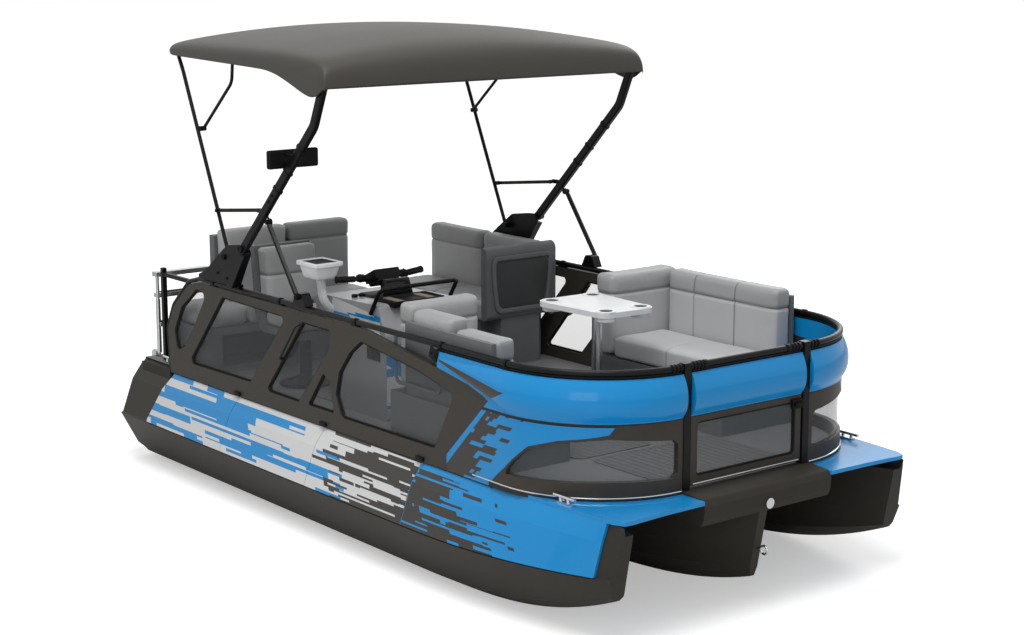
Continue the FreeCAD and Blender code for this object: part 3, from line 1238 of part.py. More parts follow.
def bucket():
    """The reverse bucket: a curved gate on two arms, raised above the jet at rest."""
    at = (BUCKET_X, -BUCKET_HALF, PUMP_Z)
    outer = cyl(at, (0, 1, 0), BUCKET_R + BUCKET_T, 2 * BUCKET_HALF)
    inner = cyl((BUCKET_X, -BUCKET_HALF - 1, PUMP_Z), (0, 1, 0), BUCKET_R, 2 * BUCKET_HALF + 2)
    far = 2 * BUCKET_R
    low = math.radians(155)
    wedge = prism_y([(BUCKET_X, PUMP_Z), (BUCKET_X + far * math.cos(low), PUMP_Z + far * math.sin(low)),
                     (BUCKET_X - far, PUMP_Z + far), (BUCKET_X, PUMP_Z + far)], -BUCKET_HALF - 1, BUCKET_HALF + 1)
    parts = [outer.cut(inner).common(wedge)]
    for s in (-1, 1):
        y0 = min(s * BUCKET_ARM_Y, s * (BUCKET_ARM_Y + BUCKET_ARM_T))
        arm = prism_y([(BUCKET_X - 26, PUMP_Z - 20), (BUCKET_X + 22, PUMP_Z - 18), (BUCKET_X + 14, PUMP_Z + 60),
                       (BUCKET_X - 40, PUMP_Z + 180), (BUCKET_X - 150, PUMP_Z + 105)], y0, y0 + BUCKET_ARM_T, [18, 18, 10, 4, 4])
        parts.append(arm.cut(cyl((BUCKET_X, y0 - 1, PUMP_Z), (0, 1, 0), BUCKET_PIN_R + RUN, BUCKET_ARM_T + 2)))
    return fuse(parts)


def ladder_upper():
    """The ladder's upper rails and step, folded up over the stern."""
    hx, hz = LADDER_HINGE
    parts = []
    bores = []
    for y in (LADDER_Y0, LADDER_Y1):
        parts.append(cyl((LADDER_X, y, LADDER_Z0), (0, 0, 1), LADDER_TUBE_R, LADDER_Z1 - LADDER_Z0))
        bores.append(cyl((LADDER_X, y, LADDER_Z0 + 20), (0, 0, 1), LADDER_ROD_R + 1, LADDER_Z1 - LADDER_Z0))
        parts.append(box(hx - 10, LADDER_X + 5, y - 6, y + 6, hz - 8, hz + 22))
    parts.append(box(LADDER_X - 30, LADDER_X + 30, LADDER_Y0, LADDER_Y1, 880, 905))
    shape = fuse(parts)
    for bore in bores:
        shape = shape.cut(bore)
    return shape.cut(cyl((hx, LADDER_Y0 - 30, hz), (0, 1, 0), 5 + RUN, LADDER_Y1 - LADDER_Y0 + 60))


def ladder_lower():
    """The ladder's sliding lower rails and steps, pushed in."""
    parts = [cyl((LADDER_X, y, LADDER_Z0 + 30), (0, 0, 1), LADDER_ROD_R, 500) for y in (LADDER_Y0, LADDER_Y1)]
    parts.append(box(LADDER_X - 32, LADDER_X + 32, LADDER_Y0 - 20, LADDER_Y1 + 20, 1215, 1245))
    parts.append(box(LADDER_X - 30, LADDER_X + 30, LADDER_Y0 - 14, LADDER_Y1 + 14, 1075, 1100))
    return fuse(parts)


def ladder_bracket():
    """The stern brackets that carry the ladder's hinge, each with its pin."""
    hx, hz = LADDER_HINGE
    out = []
    for y in (LADDER_Y0, LADDER_Y1):
        cheeks = [box(hx - 12, hx + 46, y + s * 11 - 4, y + s * 11 + 4, DECK_Z - TRIM_DROP, hz + 12) for s in (-1, 1)]
        pin = cyl((hx, y - 17, hz), (0, 1, 0), 5, 34)
        out.append(fuse(cheeks + [pin]))
    return Part.makeCompound(out)


def fittings():
    """Cleats, grab handles, the bow eye and the bow light."""
    out = []
    low = DECK_Z - TRIM_DROP
    for x, y, z in ((1960.0, 1030.0, low), (1960.0, -1030.0, low), (-2300.0, 1000.0, DECK_Z), (-2090.0, -1035.0, DECK_Z)):
        base = box(x - 45, x + 45, y - 15, y + 15, z, z + 10)
        horn = rod((x - 80, y, z + 32), (x + 80, y, z + 32), 9)
        feet = [cyl((x + dx, y, z), (0, 0, 1), 9, 34) for dx in (-30, 30)]
        out.append(fuse([base, horn] + feet))
    y1 = FENCE_Y + FENCE_T / 2
    handle = tube([(-372, y1, 1212), (-380, y1 + 26, 1202), (-560, y1 + 26, 982), (-568, y1, 972)], 9, 16)
    out += [handle, port_to_starboard(handle)]
    ring = Part.makeTorus(EYE_R, EYE_WIRE_R, V(EYE_X, 0, EYE_Z), V(0, 1, 0))
    shank = cyl((EYE_X - 80, 0, EYE_Z), (1, 0, 0), EYE_SHANK_R, 80 - EYE_R)
    out.append(fuse([ring, shank]))
    out.append(cyl((FRONT_X - 30, 0, 570), (1, 0, 0), 28, 36))
    return Part.makeCompound(out)


def build():
    """Every sub-part as a name and its shape."""
    platform = deck()
    hull = less(side_hull(), platform)
    panel = less(side_panel(), platform)
    corner = less(bow_corner(), platform)
    middle = less(centre_hull(), platform)
    frame = fence()
    band = less(bow_band(), frame)
    panes = glass()
    fence_both = both(frame)
    top_rails = less(less(less(rails(), fence_both), platform), both(band))
    arch_tube = arch()
    bits = less(less(less(fittings(), platform), middle), fence_both)
    helm = console()
    return {
        "hull_port": hull,
        "hull_starboard": port_to_starboard(hull),
        "hull_center": middle,
        "engine_block": engine(),
        "deck": platform,
        "side_panel_port": panel,
        "side_panel_starboard": port_to_starboard(panel),
        "bow_corner_port": corner,
        "bow_corner_starboard": port_to_starboard(corner),
        "fence_port": frame,
        "fence_starboard": port_to_starboard(frame),
        "bow_band_port": band,
        "bow_band_starboard": port_to_starboard(band),
        "glass_port": panes,
        "glass_starboard": port_to_starboard(panes),
        "rails": top_rails,
        "gate_frame": gate_frame(),
        "gate_hinges": gate_hinges(),
        "gate_pins": gate_pins(),
        "gate_band": gate_band(),
        "gate_glass": gate_hole(GATE_X - GLASS_T / 2, GATE_X + GLASS_T / 2),
        "gate_rail": gate_rail(),
        "bimini_feet": bimini_feet(),
        "bimini_arch": arch_tube,
        "bimini_rear_bow": rear_bow(),
        "bimini_mid_bow": mid_bow(),
        "bimini_props": props(),
        "bimini_links": links(),
        "mirror": less(mirror(), arch_tube),
        "canopy": canopy(),
        "chair_base": chair_base(),
        "chair_shell": chair_shell(),
        "chair_cushion": chair_cushion(),
        "console": helm,
        "console_trim": less(console_trim(), helm),
        "helm_bar": helm_bar(),
        "lounge_base": lounge_base(),
        "lounge_seat": lounge_seat(),
        "lounge_back": lounge_back(),
        "bench_base": bench_base(),
        "bench_seat": bench_seat(),
        "bench_back": bench_back(),
        "companion_base": companion_base(),
        "companion_cushion": companion_cushion(),
        "stern_base": stern_base(),
        "stern_seat": stern_seat(),
        "stern_back": stern_back(),
        "table_top": table(),
        "table_post": table_post(),
        "jet_pump": pump(),
        "impeller": impeller(),
        "steering_nozzle": nozzle(),
        "reverse_bucket": bucket(),
        "ladder_upper": ladder_upper(),
        "ladder_lower": ladder_lower(),
        "ladder_bracket": less(ladder_bracket(), platform),
        "fittings": bits,
    }


os.makedirs("parts", exist_ok=True)
for name, shape in build().items():
    shape.exportStep("parts/" + name + ".step")
    print(name, len(shape.Solids), "solids", round(shape.Volume / 1e6, 2), "dm3", "valid", shape.isValid())
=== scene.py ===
import json
import math
import bpy
from mathutils import Matrix, Vector

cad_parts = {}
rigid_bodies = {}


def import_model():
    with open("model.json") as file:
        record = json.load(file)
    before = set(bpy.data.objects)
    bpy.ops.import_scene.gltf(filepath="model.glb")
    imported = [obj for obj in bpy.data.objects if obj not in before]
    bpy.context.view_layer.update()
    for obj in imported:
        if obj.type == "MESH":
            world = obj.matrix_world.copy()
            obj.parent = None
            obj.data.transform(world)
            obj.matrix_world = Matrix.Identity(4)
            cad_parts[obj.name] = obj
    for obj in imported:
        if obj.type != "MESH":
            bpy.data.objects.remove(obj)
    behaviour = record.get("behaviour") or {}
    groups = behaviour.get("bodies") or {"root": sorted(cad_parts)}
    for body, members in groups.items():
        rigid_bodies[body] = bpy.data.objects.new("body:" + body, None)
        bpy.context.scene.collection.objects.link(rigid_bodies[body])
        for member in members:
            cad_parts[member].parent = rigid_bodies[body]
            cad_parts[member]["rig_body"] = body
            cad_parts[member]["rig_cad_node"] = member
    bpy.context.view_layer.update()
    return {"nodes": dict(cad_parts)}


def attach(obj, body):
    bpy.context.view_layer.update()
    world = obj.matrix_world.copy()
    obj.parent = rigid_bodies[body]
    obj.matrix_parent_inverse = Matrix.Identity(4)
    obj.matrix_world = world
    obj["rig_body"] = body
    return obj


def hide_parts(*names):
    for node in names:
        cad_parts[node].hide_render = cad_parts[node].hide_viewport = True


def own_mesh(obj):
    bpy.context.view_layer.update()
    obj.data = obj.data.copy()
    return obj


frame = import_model()
NODES = frame["nodes"]

bl_info = {
    "name": "Pontoon boat",
    "version": (1, 0, 0),
    "blender": (4, 5, 0),
    "location": "3D View > Sidebar > Boat",
    "description": "Dresses the boat's solids with finishes, padding, cloth and small fittings",
    "category": "Object",
}


def colour(text):
    """An sRGB hex value as linear red, green, blue and alpha."""
    parts = [int(text[i:i + 2], 16) / 255 for i in (1, 3, 5)]
    return tuple(c / 12.92 if c <= 0.04045 else ((c + 0.055) / 1.055) ** 2.4 for c in parts) + (1.0,)


def tint(name, text):
    """A colour setting with a hex default."""
    return bpy.props.FloatVectorProperty(name=name, description=name + " of the boat", subtype="COLOR",
                                         size=4, min=0.0, max=1.0, default=colour(text))


def length(name, words, metres):
    """A length setting in metres."""
    return bpy.props.FloatProperty(name=name, description=words, default=metres, unit="LENGTH",
                                   subtype="DISTANCE")


class BoatColours(bpy.types.PropertyGroup):
    """Colours of the boat's finishes."""
    hull: tint("Hull polymer", "#34312c")
    blue: tint("Gloss blue", "#0c87c8")
    silver: tint("Panel silver", "#cfd0d0")
    frame: tint("Fence frame", "#3d3933")
    black: tint("Black trim", "#0c0c0c")
    cloth: tint("Canopy cloth", "#37342f")
    vinyl: tint("Seat vinyl", "#b9babb")
    shell: tint("Seat shell", "#707274")
    console: tint("Console", "#9a9c9f")
    table: tint("Table", "#e6e8ea")


class BoatSizes(bpy.types.PropertyGroup):
    """Sizes of the boat's soft goods and finishes."""
    voxel: length("Pad voxel", "Edge of the cells that a pad is remeshed with", 0.016)
    puff: length("Pad puff", "How far a pad's face may swell", 0.010)
    weave: length("Weave", "Spacing of the canopy's threads, drawn coarse enough to show", 0.004)
    grain: length("Grain", "Size of the moulded grain, drawn coarse enough to show", 0.003)
    bar: length("Stripe height", "Height of one row of the side panels' stripes", 0.016)


def colours():
    """The scene's colour settings."""
    return bpy.context.scene.boat_colours


def sizes():
    """The scene's size settings."""
    return bpy.context.scene.boat_sizes


def new_material(name):
    """An empty node material with its output."""
    m = bpy.data.materials.new(name)
    m.use_nodes = True
    m.node_tree.nodes.clear()
    m.node_tree.nodes.new("ShaderNodeOutputMaterial")
    return m


def add(m, kind, settings=None, **inputs):
    """Adds a node with its settings and with inputs that are keyed by name, or by i and a number."""
    node = m.node_tree.nodes.new(kind)
    for key, value in (settings or {}).items():
        setattr(node, key, value)
    for key, value in inputs.items():
        place = int(key[1:]) if key[0] == "i" and key[1:].isdigit() else key.replace("_", " ")
        socket = node.inputs[place]
        if isinstance(value, bpy.types.NodeSocket):
            m.node_tree.links.new(value, socket)
        else:
            socket.default_value = value
    return node


def finish(m, shader):
    """Joins a shader to the material's output."""
    out = m.node_tree.nodes["Material Output"]
    m.node_tree.links.new(shader.outputs[0], out.inputs["Surface"])
    return m


def place(m, scale=(1, 1, 1)):
    """Object coordinates in metres, scaled."""
    where = add(m, "ShaderNodeTexCoord")
    return add(m, "ShaderNodeMapping", Vector=where.outputs["Object"], Scale=scale).outputs[0]


def math_node(m, operation, a, b=0.0):
    """A value worked out from two others."""
    return add(m, "ShaderNodeMath", {"operation": operation}, i0=a, i1=b).outputs[0]


def varied(m, base, spread, size):
    """A colour that wanders lighter and darker over patches of a size in metres."""
    noise = add(m, "ShaderNodeTexNoise", Vector=place(m), Scale=1 / size, Detail=4.0)
    dark = tuple(c * (1 - spread) for c in base[:3]) + (1,)
    light = tuple(min(1, c * (1 + spread)) for c in base[:3]) + (1,)
    mix = add(m, "ShaderNodeMix", {"data_type": "RGBA"}, Factor=noise.outputs["Fac"], i6=dark, i7=light)
    return mix.outputs[2]


def grain(m, size, strength, depth):
    """A fine moulded grain as a bump."""
    noise = add(m, "ShaderNodeTexNoise", Vector=place(m), Scale=1 / size, Detail=2.0)
    return add(m, "ShaderNodeBump", Strength=strength, Distance=depth, Height=noise.outputs["Fac"]).outputs[0]


def moulded_polymer(name, base, rough, grain_size, bump=0.25):
    """Moulded polymer: dull skin with a fine grain and faint patches."""
    m = new_material(name)
    shader = add(m, "ShaderNodeBsdfPrincipled", Base_Color=varied(m, base, 0.10, 0.12), Roughness=rough,
                 IOR=1.46, Specular_IOR_Level=0.15, Normal=grain(m, grain_size, bump, 0.0006))
    return finish(m, shader)


def gloss_gelcoat(name, base, paint=None):
    """Painted and clear-coated panel: deep even colour with a sharp coat and a trace of orange peel."""
    m = new_material(name)
    peel = add(m, "ShaderNodeTexNoise", Vector=place(m), Scale=160.0, Detail=1.0)
    bump = add(m, "ShaderNodeBump", Strength=0.05, Distance=0.0004, Height=peel.outputs["Fac"])
    body = paint(m) if paint else varied(m, base, 0.05, 0.35)
    shader = add(m, "ShaderNodeBsdfPrincipled", Base_Color=body, Roughness=0.34, IOR=1.5, Coat_Weight=0.35,
                 Coat_Roughness=0.07, Specular_IOR_Level=0.15, Normal=bump.outputs[0])
    return finish(m, shader)


def powder_coat(name, base, rough=0.42):
    """Powder-coated aluminium tube: satin with a pebbled skin."""
    m = new_material(name)
    shader = add(m, "ShaderNodeBsdfPrincipled", Base_Color=varied(m, base, 0.12, 0.05), Roughness=rough,
                 IOR=1.48, Specular_IOR_Level=0.16, Coat_Weight=0.05, Coat_Roughness=0.20,
                 Normal=grain(m, 0.0018, 0.18, 0.0004))
    return finish(m, shader)


def metal(name, base, rough, streak):
    """Stainless or cast metal: a mirror dulled by its own fine marks."""
    m = new_material(name)
    noise = add(m, "ShaderNodeTexNoise", Vector=place(m, streak), Scale=60.0, Detail=3.0)
    spread = add(m, "ShaderNodeMapRange", Value=noise.outputs["Fac"], To_Min=rough * 0.7, To_Max=rough * 1.3)
    shader = add(m, "ShaderNodeBsdfPrincipled", Base_Color=base, Metallic=1.0, Roughness=spread.outputs[0])
    return finish(m, shader)


def smoked_acrylic(name):
    """Tinted acrylic pane: mostly clear, grey in depth, with a glossy face and faint smears."""
    m = new_material(name)
    smear = add(m, "ShaderNodeTexNoise", Vector=place(m), Scale=7.0, Detail=3.0)
    rough = add(m, "ShaderNodeMapRange", Value=smear.outputs["Fac"], To_Min=0.03, To_Max=0.09)
    shader = add(m, "ShaderNodeBsdfPrincipled", Base_Color=colour("#4d5153"), Roughness=rough.outputs[0],
                 IOR=1.49, Specular_IOR_Level=0.3, Alpha=0.26)
    return finish(m, shader)


def marine_vinyl(name, base):
    """Upholstery vinyl: satin skin with a leather-like emboss, darker top rolls and painted shade along the
    pressed seams.
    """
    m = new_material(name)
    cells = add(m, "ShaderNodeTexVoronoi", {"feature": "DISTANCE_TO_EDGE"}, Vector=place(m), Scale=420.0)
    edge = add(m, "ShaderNodeMapRange", Value=cells.outputs["Distance"], From_Max=0.25)
    bump = add(m, "ShaderNodeBump", Strength=0.18, Distance=0.0005, Height=edge.outputs[0])
    roll = add(m, "ShaderNodeAttribute", {"attribute_name": "roll"}).outputs["Fac"]
    seam = add(m, "ShaderNodeAttribute", {"attribute_name": "seam"}).outputs["Fac"]
    skin = varied(m, base, 0.04, 0.20)
    dark = tuple(c * 0.70 for c in base[:3]) + (1,)
    skin = layer(m, skin, dark, roll)
    # Painted shade: the seam creases are darkened with a fixed dark grey.
    skin = layer(m, skin, colour("#4b4c4d"), math_node(m, "MULTIPLY", seam, 0.8))
    shader = add(m, "ShaderNodeBsdfPrincipled", Base_Color=skin, Roughness=0.46, IOR=1.48,
                 Specular_IOR_Level=0.4, Normal=bump.outputs[0])
    return finish(m, shader)


CORNER_X, CORNER_Y = 1.560, 0.463
FLOOR_RADIUS = 0.600
FLOOR_Z = 0.668


def deck_skin(name, base):
    """Deck moulding: dark like the hull outside, with a grey non-slip skin on the floor within the fence."""
    m = new_material(name)
    where = add(m, "ShaderNodeSeparateXYZ", Vector=place(m)).outputs
    ahead = math_node(m, "MAXIMUM", math_node(m, "SUBTRACT", where["X"], CORNER_X), 0.0)
    beside = math_node(m, "SUBTRACT", math_node(m, "ABSOLUTE", where["Y"]), CORNER_Y)
    corner = pair(m, ahead, math_node(m, "MAXIMUM", beside, 0.0))
    away = add(m, "ShaderNodeVectorMath", {"operation": "LENGTH"}, Vector=corner).outputs["Value"]
    within = math_node(m, "LESS_THAN", away, FLOOR_RADIUS)
    floor = math_node(m, "MULTIPLY", within, math_node(m, "GREATER_THAN", where["Z"], FLOOR_Z))
    cells = add(m, "ShaderNodeTexVoronoi", Vector=place(m), Scale=170.0).outputs["Distance"]
    bump = add(m, "ShaderNodeBump", Strength=0.35, Distance=0.0008,
               Height=math_node(m, "MULTIPLY", cells, floor))
    body = layer(m, varied(m, base, 0.10, 0.12), varied(m, colour("#77787a"), 0.08, 0.05), floor)
    shader = add(m, "ShaderNodeBsdfPrincipled", Base_Color=body, Roughness=0.62, IOR=1.45,
                 Specular_IOR_Level=0.15, Normal=bump.outputs[0])
    return finish(m, shader)


GROOVE_PITCH = 0.048


def grooved_foam(name, base):
    """Closed-cell foam decking: matt cells with straight routed grooves along the boat, darkened as painted
    shade.
    """
    m = new_material(name)
    where = add(m, "ShaderNodeSeparateXYZ", Vector=place(m)).outputs
    lane = math_node(m, "ABSOLUTE", math_node(m, "SUBTRACT", math_node(m, "FRACT", math_node(
        m, "DIVIDE", where["Y"], GROOVE_PITCH)), 0.5))
    groove = math_node(m, "GREATER_THAN", lane, 0.06)
    # Painted shade: the narrow groove lines are coloured a darker grey.
    body = layer(m, colour("#3a3a3a"), varied(m, base, 0.12, 0.02), groove)
    cells = add(m, "ShaderNodeTexNoise", Vector=place(m), Scale=700.0, Detail=2.0).outputs["Fac"]
    bump = add(m, "ShaderNodeBump", Strength=0.5, Distance=0.001,
               Height=math_node(m, "ADD", groove, math_node(m, "MULTIPLY", cells, 0.35)))
    shader = add(m, "ShaderNodeBsdfPrincipled", Base_Color=body, Roughness=0.82, IOR=1.45,
                 Specular_IOR_Level=0.2, Normal=bump.outputs[0])
    return finish(m, shader)


def woven_cloth(name, base, thread):
    """Solution-dyed canvas: a dull square weave with a soft edge sheen."""
    m = new_material(name)
    where = place(m)
    across = add(m, "ShaderNodeTexWave", {"bands_direction": "X"}, Vector=where, Scale=0.314 / thread)
    along = add(m, "ShaderNodeTexWave", {"bands_direction": "Y"}, Vector=where, Scale=0.314 / thread)
    weave = math_node(m, "MULTIPLY", across.outputs["Fac"], along.outputs["Fac"])
    bump = add(m, "ShaderNodeBump", Strength=0.25, Distance=0.0006, Height=weave)
    shader = add(m, "ShaderNodeBsdfPrincipled", Base_Color=varied(m, base, 0.10, 0.45), Roughness=0.55,
                 IOR=1.45, Sheen_Weight=0.1, Sheen_Roughness=0.4, Normal=bump.outputs[0])
    return finish(m, shader)


def pair(m, a, b):
    """Two values as one vector."""
    return add(m, "ShaderNodeCombineXYZ", X=a, Y=b).outputs[0]


def bars(m, x, row, long, share, seed):
    """1 inside scattered flat bars of a length that fill a share of the rows."""
    slide = add(m, "ShaderNodeTexWhiteNoise", {"noise_dimensions": "2D"},
                Vector=pair(m, row, seed)).outputs["Value"]
    cell = math_node(m, "FLOOR", math_node(m, "ADD", math_node(m, "DIVIDE", x, long), slide))
    pick = add(m, "ShaderNodeTexWhiteNoise", {"noise_dimensions": "3D"},
               Vector=add(m, "ShaderNodeCombineXYZ", X=cell, Y=row, Z=seed).outputs[0]).outputs["Value"]
    return math_node(m, "LESS_THAN", pick, share)


def layer(m, under, over, mask):
    """One colour over another where the mask is 1."""
    return add(m, "ShaderNodeMix", {"data_type": "RGBA"}, Factor=mask, i6=under, i7=over).outputs[2]


def between(m, value, low, high):
    """1 where a value lies between two limits."""
    above = math_node(m, "GREATER_THAN", value, low)
    return math_node(m, "MULTIPLY", above, math_node(m, "LESS_THAN", value, high))


def ramp(m, value, start, end):
    """0 at start to 1 at end, held outside."""
    return add(m, "ShaderNodeMapRange", Value=value, From_Min=start, From_Max=end).outputs[0]


def either(m, a, b):
    """The larger of two masks."""
    return math_node(m, "MAXIMUM", a, b)


PANEL_JOINT = (0.828, 0.832, 0.836)


def striped_panel(m):
    """Flat bars: silver with blue aft, silver broken by black amidships, and blue with black at the bow."""
    c = colours()
    where = add(m, "ShaderNodeSeparateXYZ", Vector=place(m)).outputs
    high = sizes().bar
    x = math_node(m, "ADD", where["X"], math_node(m, "MULTIPLY", where["Z"], 0.8))
    thin_row = math_node(m, "FLOOR", math_node(m, "DIVIDE", where["Z"], high * 0.6))
    row = math_node(m, "FLOOR", math_node(m, "DIVIDE", where["Z"], high))
    lifted = math_node(m, "ADD", where["Z"], 0.013)
    wide_row = math_node(m, "FLOOR", math_node(m, "DIVIDE", lifted, high * 2.6))
    off_centre = math_node(m, "ABSOLUTE", math_node(m, "SUBTRACT", ramp(m, x, -2.0, 0.5), 0.45))
    belly = math_node(m, "SUBTRACT", 0.66, off_centre)
    blue = either(m, bars(m, x, wide_row, 0.74, belly, 3.0), bars(m, x, row, 0.42, 0.16, 5.0))
    blue = math_node(m, "MULTIPLY", blue, math_node(m, "SUBTRACT", 1.0, bars(m, x, row, 0.36, 0.20, 11.0)))
    blue = math_node(m, "MULTIPLY", blue, math_node(m, "LESS_THAN", x, 0.56))
    paint = layer(m, c.silver, c.blue, blue)
    grow = ramp(m, x, 0.16, 1.20)
    black = either(m, bars(m, x, wide_row, 0.34, math_node(m, "MULTIPLY", grow, 0.95), 17.0),
                   bars(m, x, row, 0.27, math_node(m, "MULTIPLY", grow, 0.85), 7.0))
    gaps = bars(m, x, thin_row, 0.30, 0.26, 61.0)
    black = math_node(m, "MULTIPLY", black, math_node(m, "SUBTRACT", 1.0, gaps))
    paint = layer(m, paint, c.hull, black)
    fade = math_node(m, "SUBTRACT", 1.0, ramp(m, x, 1.20, 2.10))
    dark = either(m, bars(m, x, wide_row, 0.31, math_node(m, "MULTIPLY", fade, 0.62), 23.0),
                  bars(m, x, row, 0.26, math_node(m, "MULTIPLY", fade, 0.60), 29.0))
    gaps = bars(m, x, thin_row, 0.34, 0.24, 67.0)
    dark = math_node(m, "MULTIPLY", dark, math_node(m, "SUBTRACT", 1.0, gaps))
    dark = math_node(m, "MULTIPLY", dark, math_node(m, "LESS_THAN", x, 2.05))
    fore = layer(m, c.blue, c.hull, dark)
    aft_side, middle_line, fore_side = PANEL_JOINT
    paint = layer(m, paint, fore, math_node(m, "GREATER_THAN", where["X"], middle_line))
    return layer(m, paint, c.blue, between(m, where["X"], aft_side, fore_side))


def banded_blue(m):
    """Gloss blue with a dark swoosh aft, dark bars at the wedge's aft edge, and a black line of painted
    shadow in the gap under the band.
    """
    c = colours()
    where = add(m, "ShaderNodeSeparateXYZ", Vector=place(m)).outputs
    row = math_node(m, "FLOOR", math_node(m, "DIVIDE", where["Z"], 0.022))
    x = math_node(m, "SUBTRACT", where["X"], math_node(m, "MULTIPLY", where["Z"], 0.98))
    fade = math_node(m, "SUBTRACT", 1.0, ramp(m, x, 0.42, 0.72))
    wide_row = math_node(m, "FLOOR", math_node(m, "DIVIDE", where["Z"], 0.055))
    dark = either(m, bars(m, x, row, 0.11, math_node(m, "MULTIPLY", fade, 0.75), 37.0),
                  bars(m, x, wide_row, 0.13, math_node(m, "MULTIPLY", fade, 0.70), 43.0))
    low = math_node(m, "LESS_THAN", where["Z"], 1.055)
    inset = math_node(m, "GREATER_THAN", x, 0.395)
    body = layer(m, c.blue, c.hull, math_node(m, "MULTIPLY", dark, math_node(m, "MULTIPLY", low, inset)))
    along = ramp(m, where["X"], 1.00, 1.56)
    centre = math_node(m, "SUBTRACT", 1.236, math_node(m, "MULTIPLY", along, 0.100))
    off = math_node(m, "ABSOLUTE", math_node(m, "SUBTRACT", where["Z"], centre))
    half = math_node(m, "ADD", 0.006, math_node(m, "MULTIPLY", along, 0.030))
    cut = math_node(m, "ADD", where["X"], math_node(m, "MULTIPLY", where["Z"], -2.2))
    swoosh = math_node(m, "LESS_THAN", off, half)
    swoosh = math_node(m, "MULTIPLY", swoosh, math_node(m, "LESS_THAN", cut, -0.98))
    swoosh = math_node(m, "MULTIPLY", swoosh, math_node(m, "GREATER_THAN", where["X"], 1.005))
    body = layer(m, body, c.hull, swoosh)
    # Painted shadow: the black line at z 1.040 to 1.056 stands for the shadowed gap under the band.
    return layer(m, body, c.black, between(m, where["Z"], 1.040, 1.056))


def console_graphic(m):
    """Console grey with a white field and blue bars on its side and its front."""
    c = colours()
    where = add(m, "ShaderNodeSeparateXYZ", Vector=place(m)).outputs
    row = math_node(m, "FLOOR", math_node(m, "DIVIDE", where["Z"], 0.024))
    wide_row = math_node(m, "FLOOR", math_node(m, "DIVIDE", where["Z"], 0.060))
    front = math_node(m, "MULTIPLY", between(m, where["Z"], 0.74, 1.12), between(m, where["Y"], -0.81, -0.57))
    front = math_node(m, "MULTIPLY", front, math_node(m, "GREATER_THAN", where["X"], 0.088))
    slope = math_node(m, "ADD", where["Z"], math_node(m, "MULTIPLY", where["X"], 0.10))
    side = math_node(m, "MULTIPLY", between(m, slope, 1.12, 1.285), between(m, where["X"], -0.46, 0.04))
    side = math_node(m, "MULTIPLY", side, math_node(m, "LESS_THAN", where["Y"], -0.79))
    field = either(m, front, side)
    y = math_node(m, "ADD", where["Y"], math_node(m, "MULTIPLY", where["Z"], 0.5))
    x = math_node(m, "ADD", where["X"], math_node(m, "MULTIPLY", where["Z"], 0.9))
    around = math_node(m, "ADD", x, y)
    gaps = bars(m, around, row, 0.21, 0.35, 53.0)
    streaks = math_node(m, "MULTIPLY", bars(m, around, wide_row, 0.33, 0.62, 47.0),
                        math_node(m, "SUBTRACT", 1.0, gaps))
    skin = layer(m, varied(m, c.console, 0.06, 0.10), c.silver, field)
    return layer(m, skin, c.blue, math_node(m, "MULTIPLY", field, streaks))


def fitting_steel(name):
    """Polished stainless for cleats and rings, and black moulding for the grab handles above the deck."""
    m = new_material(name)
    where = add(m, "ShaderNodeSeparateXYZ", Vector=place(m)).outputs
    grab = math_node(m, "GREATER_THAN", where["Z"], 0.90)
    noise = add(m, "ShaderNodeTexNoise", Vector=place(m), Scale=60.0, Detail=3.0)
    polish = add(m, "ShaderNodeMapRange", Value=noise.outputs["Fac"], To_Min=0.10, To_Max=0.22).outputs[0]
    shader = add(m, "ShaderNodeBsdfPrincipled", Base_Color=layer(m, colour("#c9cbcd"), colours().black, grab),
                 Metallic=math_node(m, "SUBTRACT", 1.0, grab),
                 Roughness=math_node(m, "ADD", polish, math_node(m, "MULTIPLY", grab, 0.3)))
    return finish(m, shader)


def punched_mesh(name):
    """Black punched sheet: satin paint with rows of small holes, the dark behind them painted in as
    near-black shade.
    """
    m = new_material(name)
    cells = add(m, "ShaderNodeTexVoronoi", Vector=place(m), Scale=95.0, Randomness=0.0)
    hole = math_node(m, "LESS_THAN", cells.outputs["Distance"], 0.38)
    bump = add(m, "ShaderNodeBump", {"invert": True}, Strength=0.8, Distance=0.002, Height=hole)
    # Painted shade: the holes are coloured near black for the dark inside behind them.
    shader = add(m, "ShaderNodeBsdfPrincipled", Roughness=0.5, Normal=bump.outputs[0],
                 Base_Color=layer(m, colour("#3c3d3e"), colour("#050505"), hole))
    return finish(m, shader)


FINISH = {}


def paint(node_name, finish_name):
    """Gives a CAD node one of the finishes."""
    mesh = NODES[node_name].data
    mesh.materials.clear()
    mesh.materials.append(FINISH[finish_name])


CAD_FINISHES = {
    "hull polymer": ["hull_port", "hull_starboard", "hull_center"],
    "deck skin": ["deck"],
    "striped panel": ["side_panel_port", "side_panel_starboard"],
    "gloss blue": ["bow_corner_port", "bow_corner_starboard"],
    "banded blue": ["bow_band_port", "bow_band_starboard", "gate_band"],
    "fence frame": ["fence_port", "fence_starboard", "gate_frame"],
    "smoked acrylic": ["glass_port", "glass_starboard", "gate_glass"],
    "powder black": ["rails", "gate_rail", "bimini_feet", "bimini_arch", "bimini_rear_bow", "bimini_mid_bow",
                     "bimini_props", "bimini_links", "chair_base"],
    "black plastic": ["mirror", "console_trim", "helm_bar", "reverse_bucket"],
    "seat shell": ["chair_shell", "lounge_base", "bench_base", "companion_base", "stern_base"],
    "console skin": ["console"],
    "table top": ["table_top"],
    "stainless": ["table_post", "gate_hinges", "gate_pins", "impeller", "ladder_upper", "ladder_lower",
                  "ladder_bracket"],
    "fitting steel": ["fittings"],
    "cast aluminium": ["engine_block", "jet_pump", "steering_nozzle"],
    "canopy cloth": ["canopy"],
    "seat vinyl": ["chair_cushion", "lounge_seat", "lounge_back", "bench_seat", "bench_back",
                   "companion_cushion", "stern_seat", "stern_back"],
}


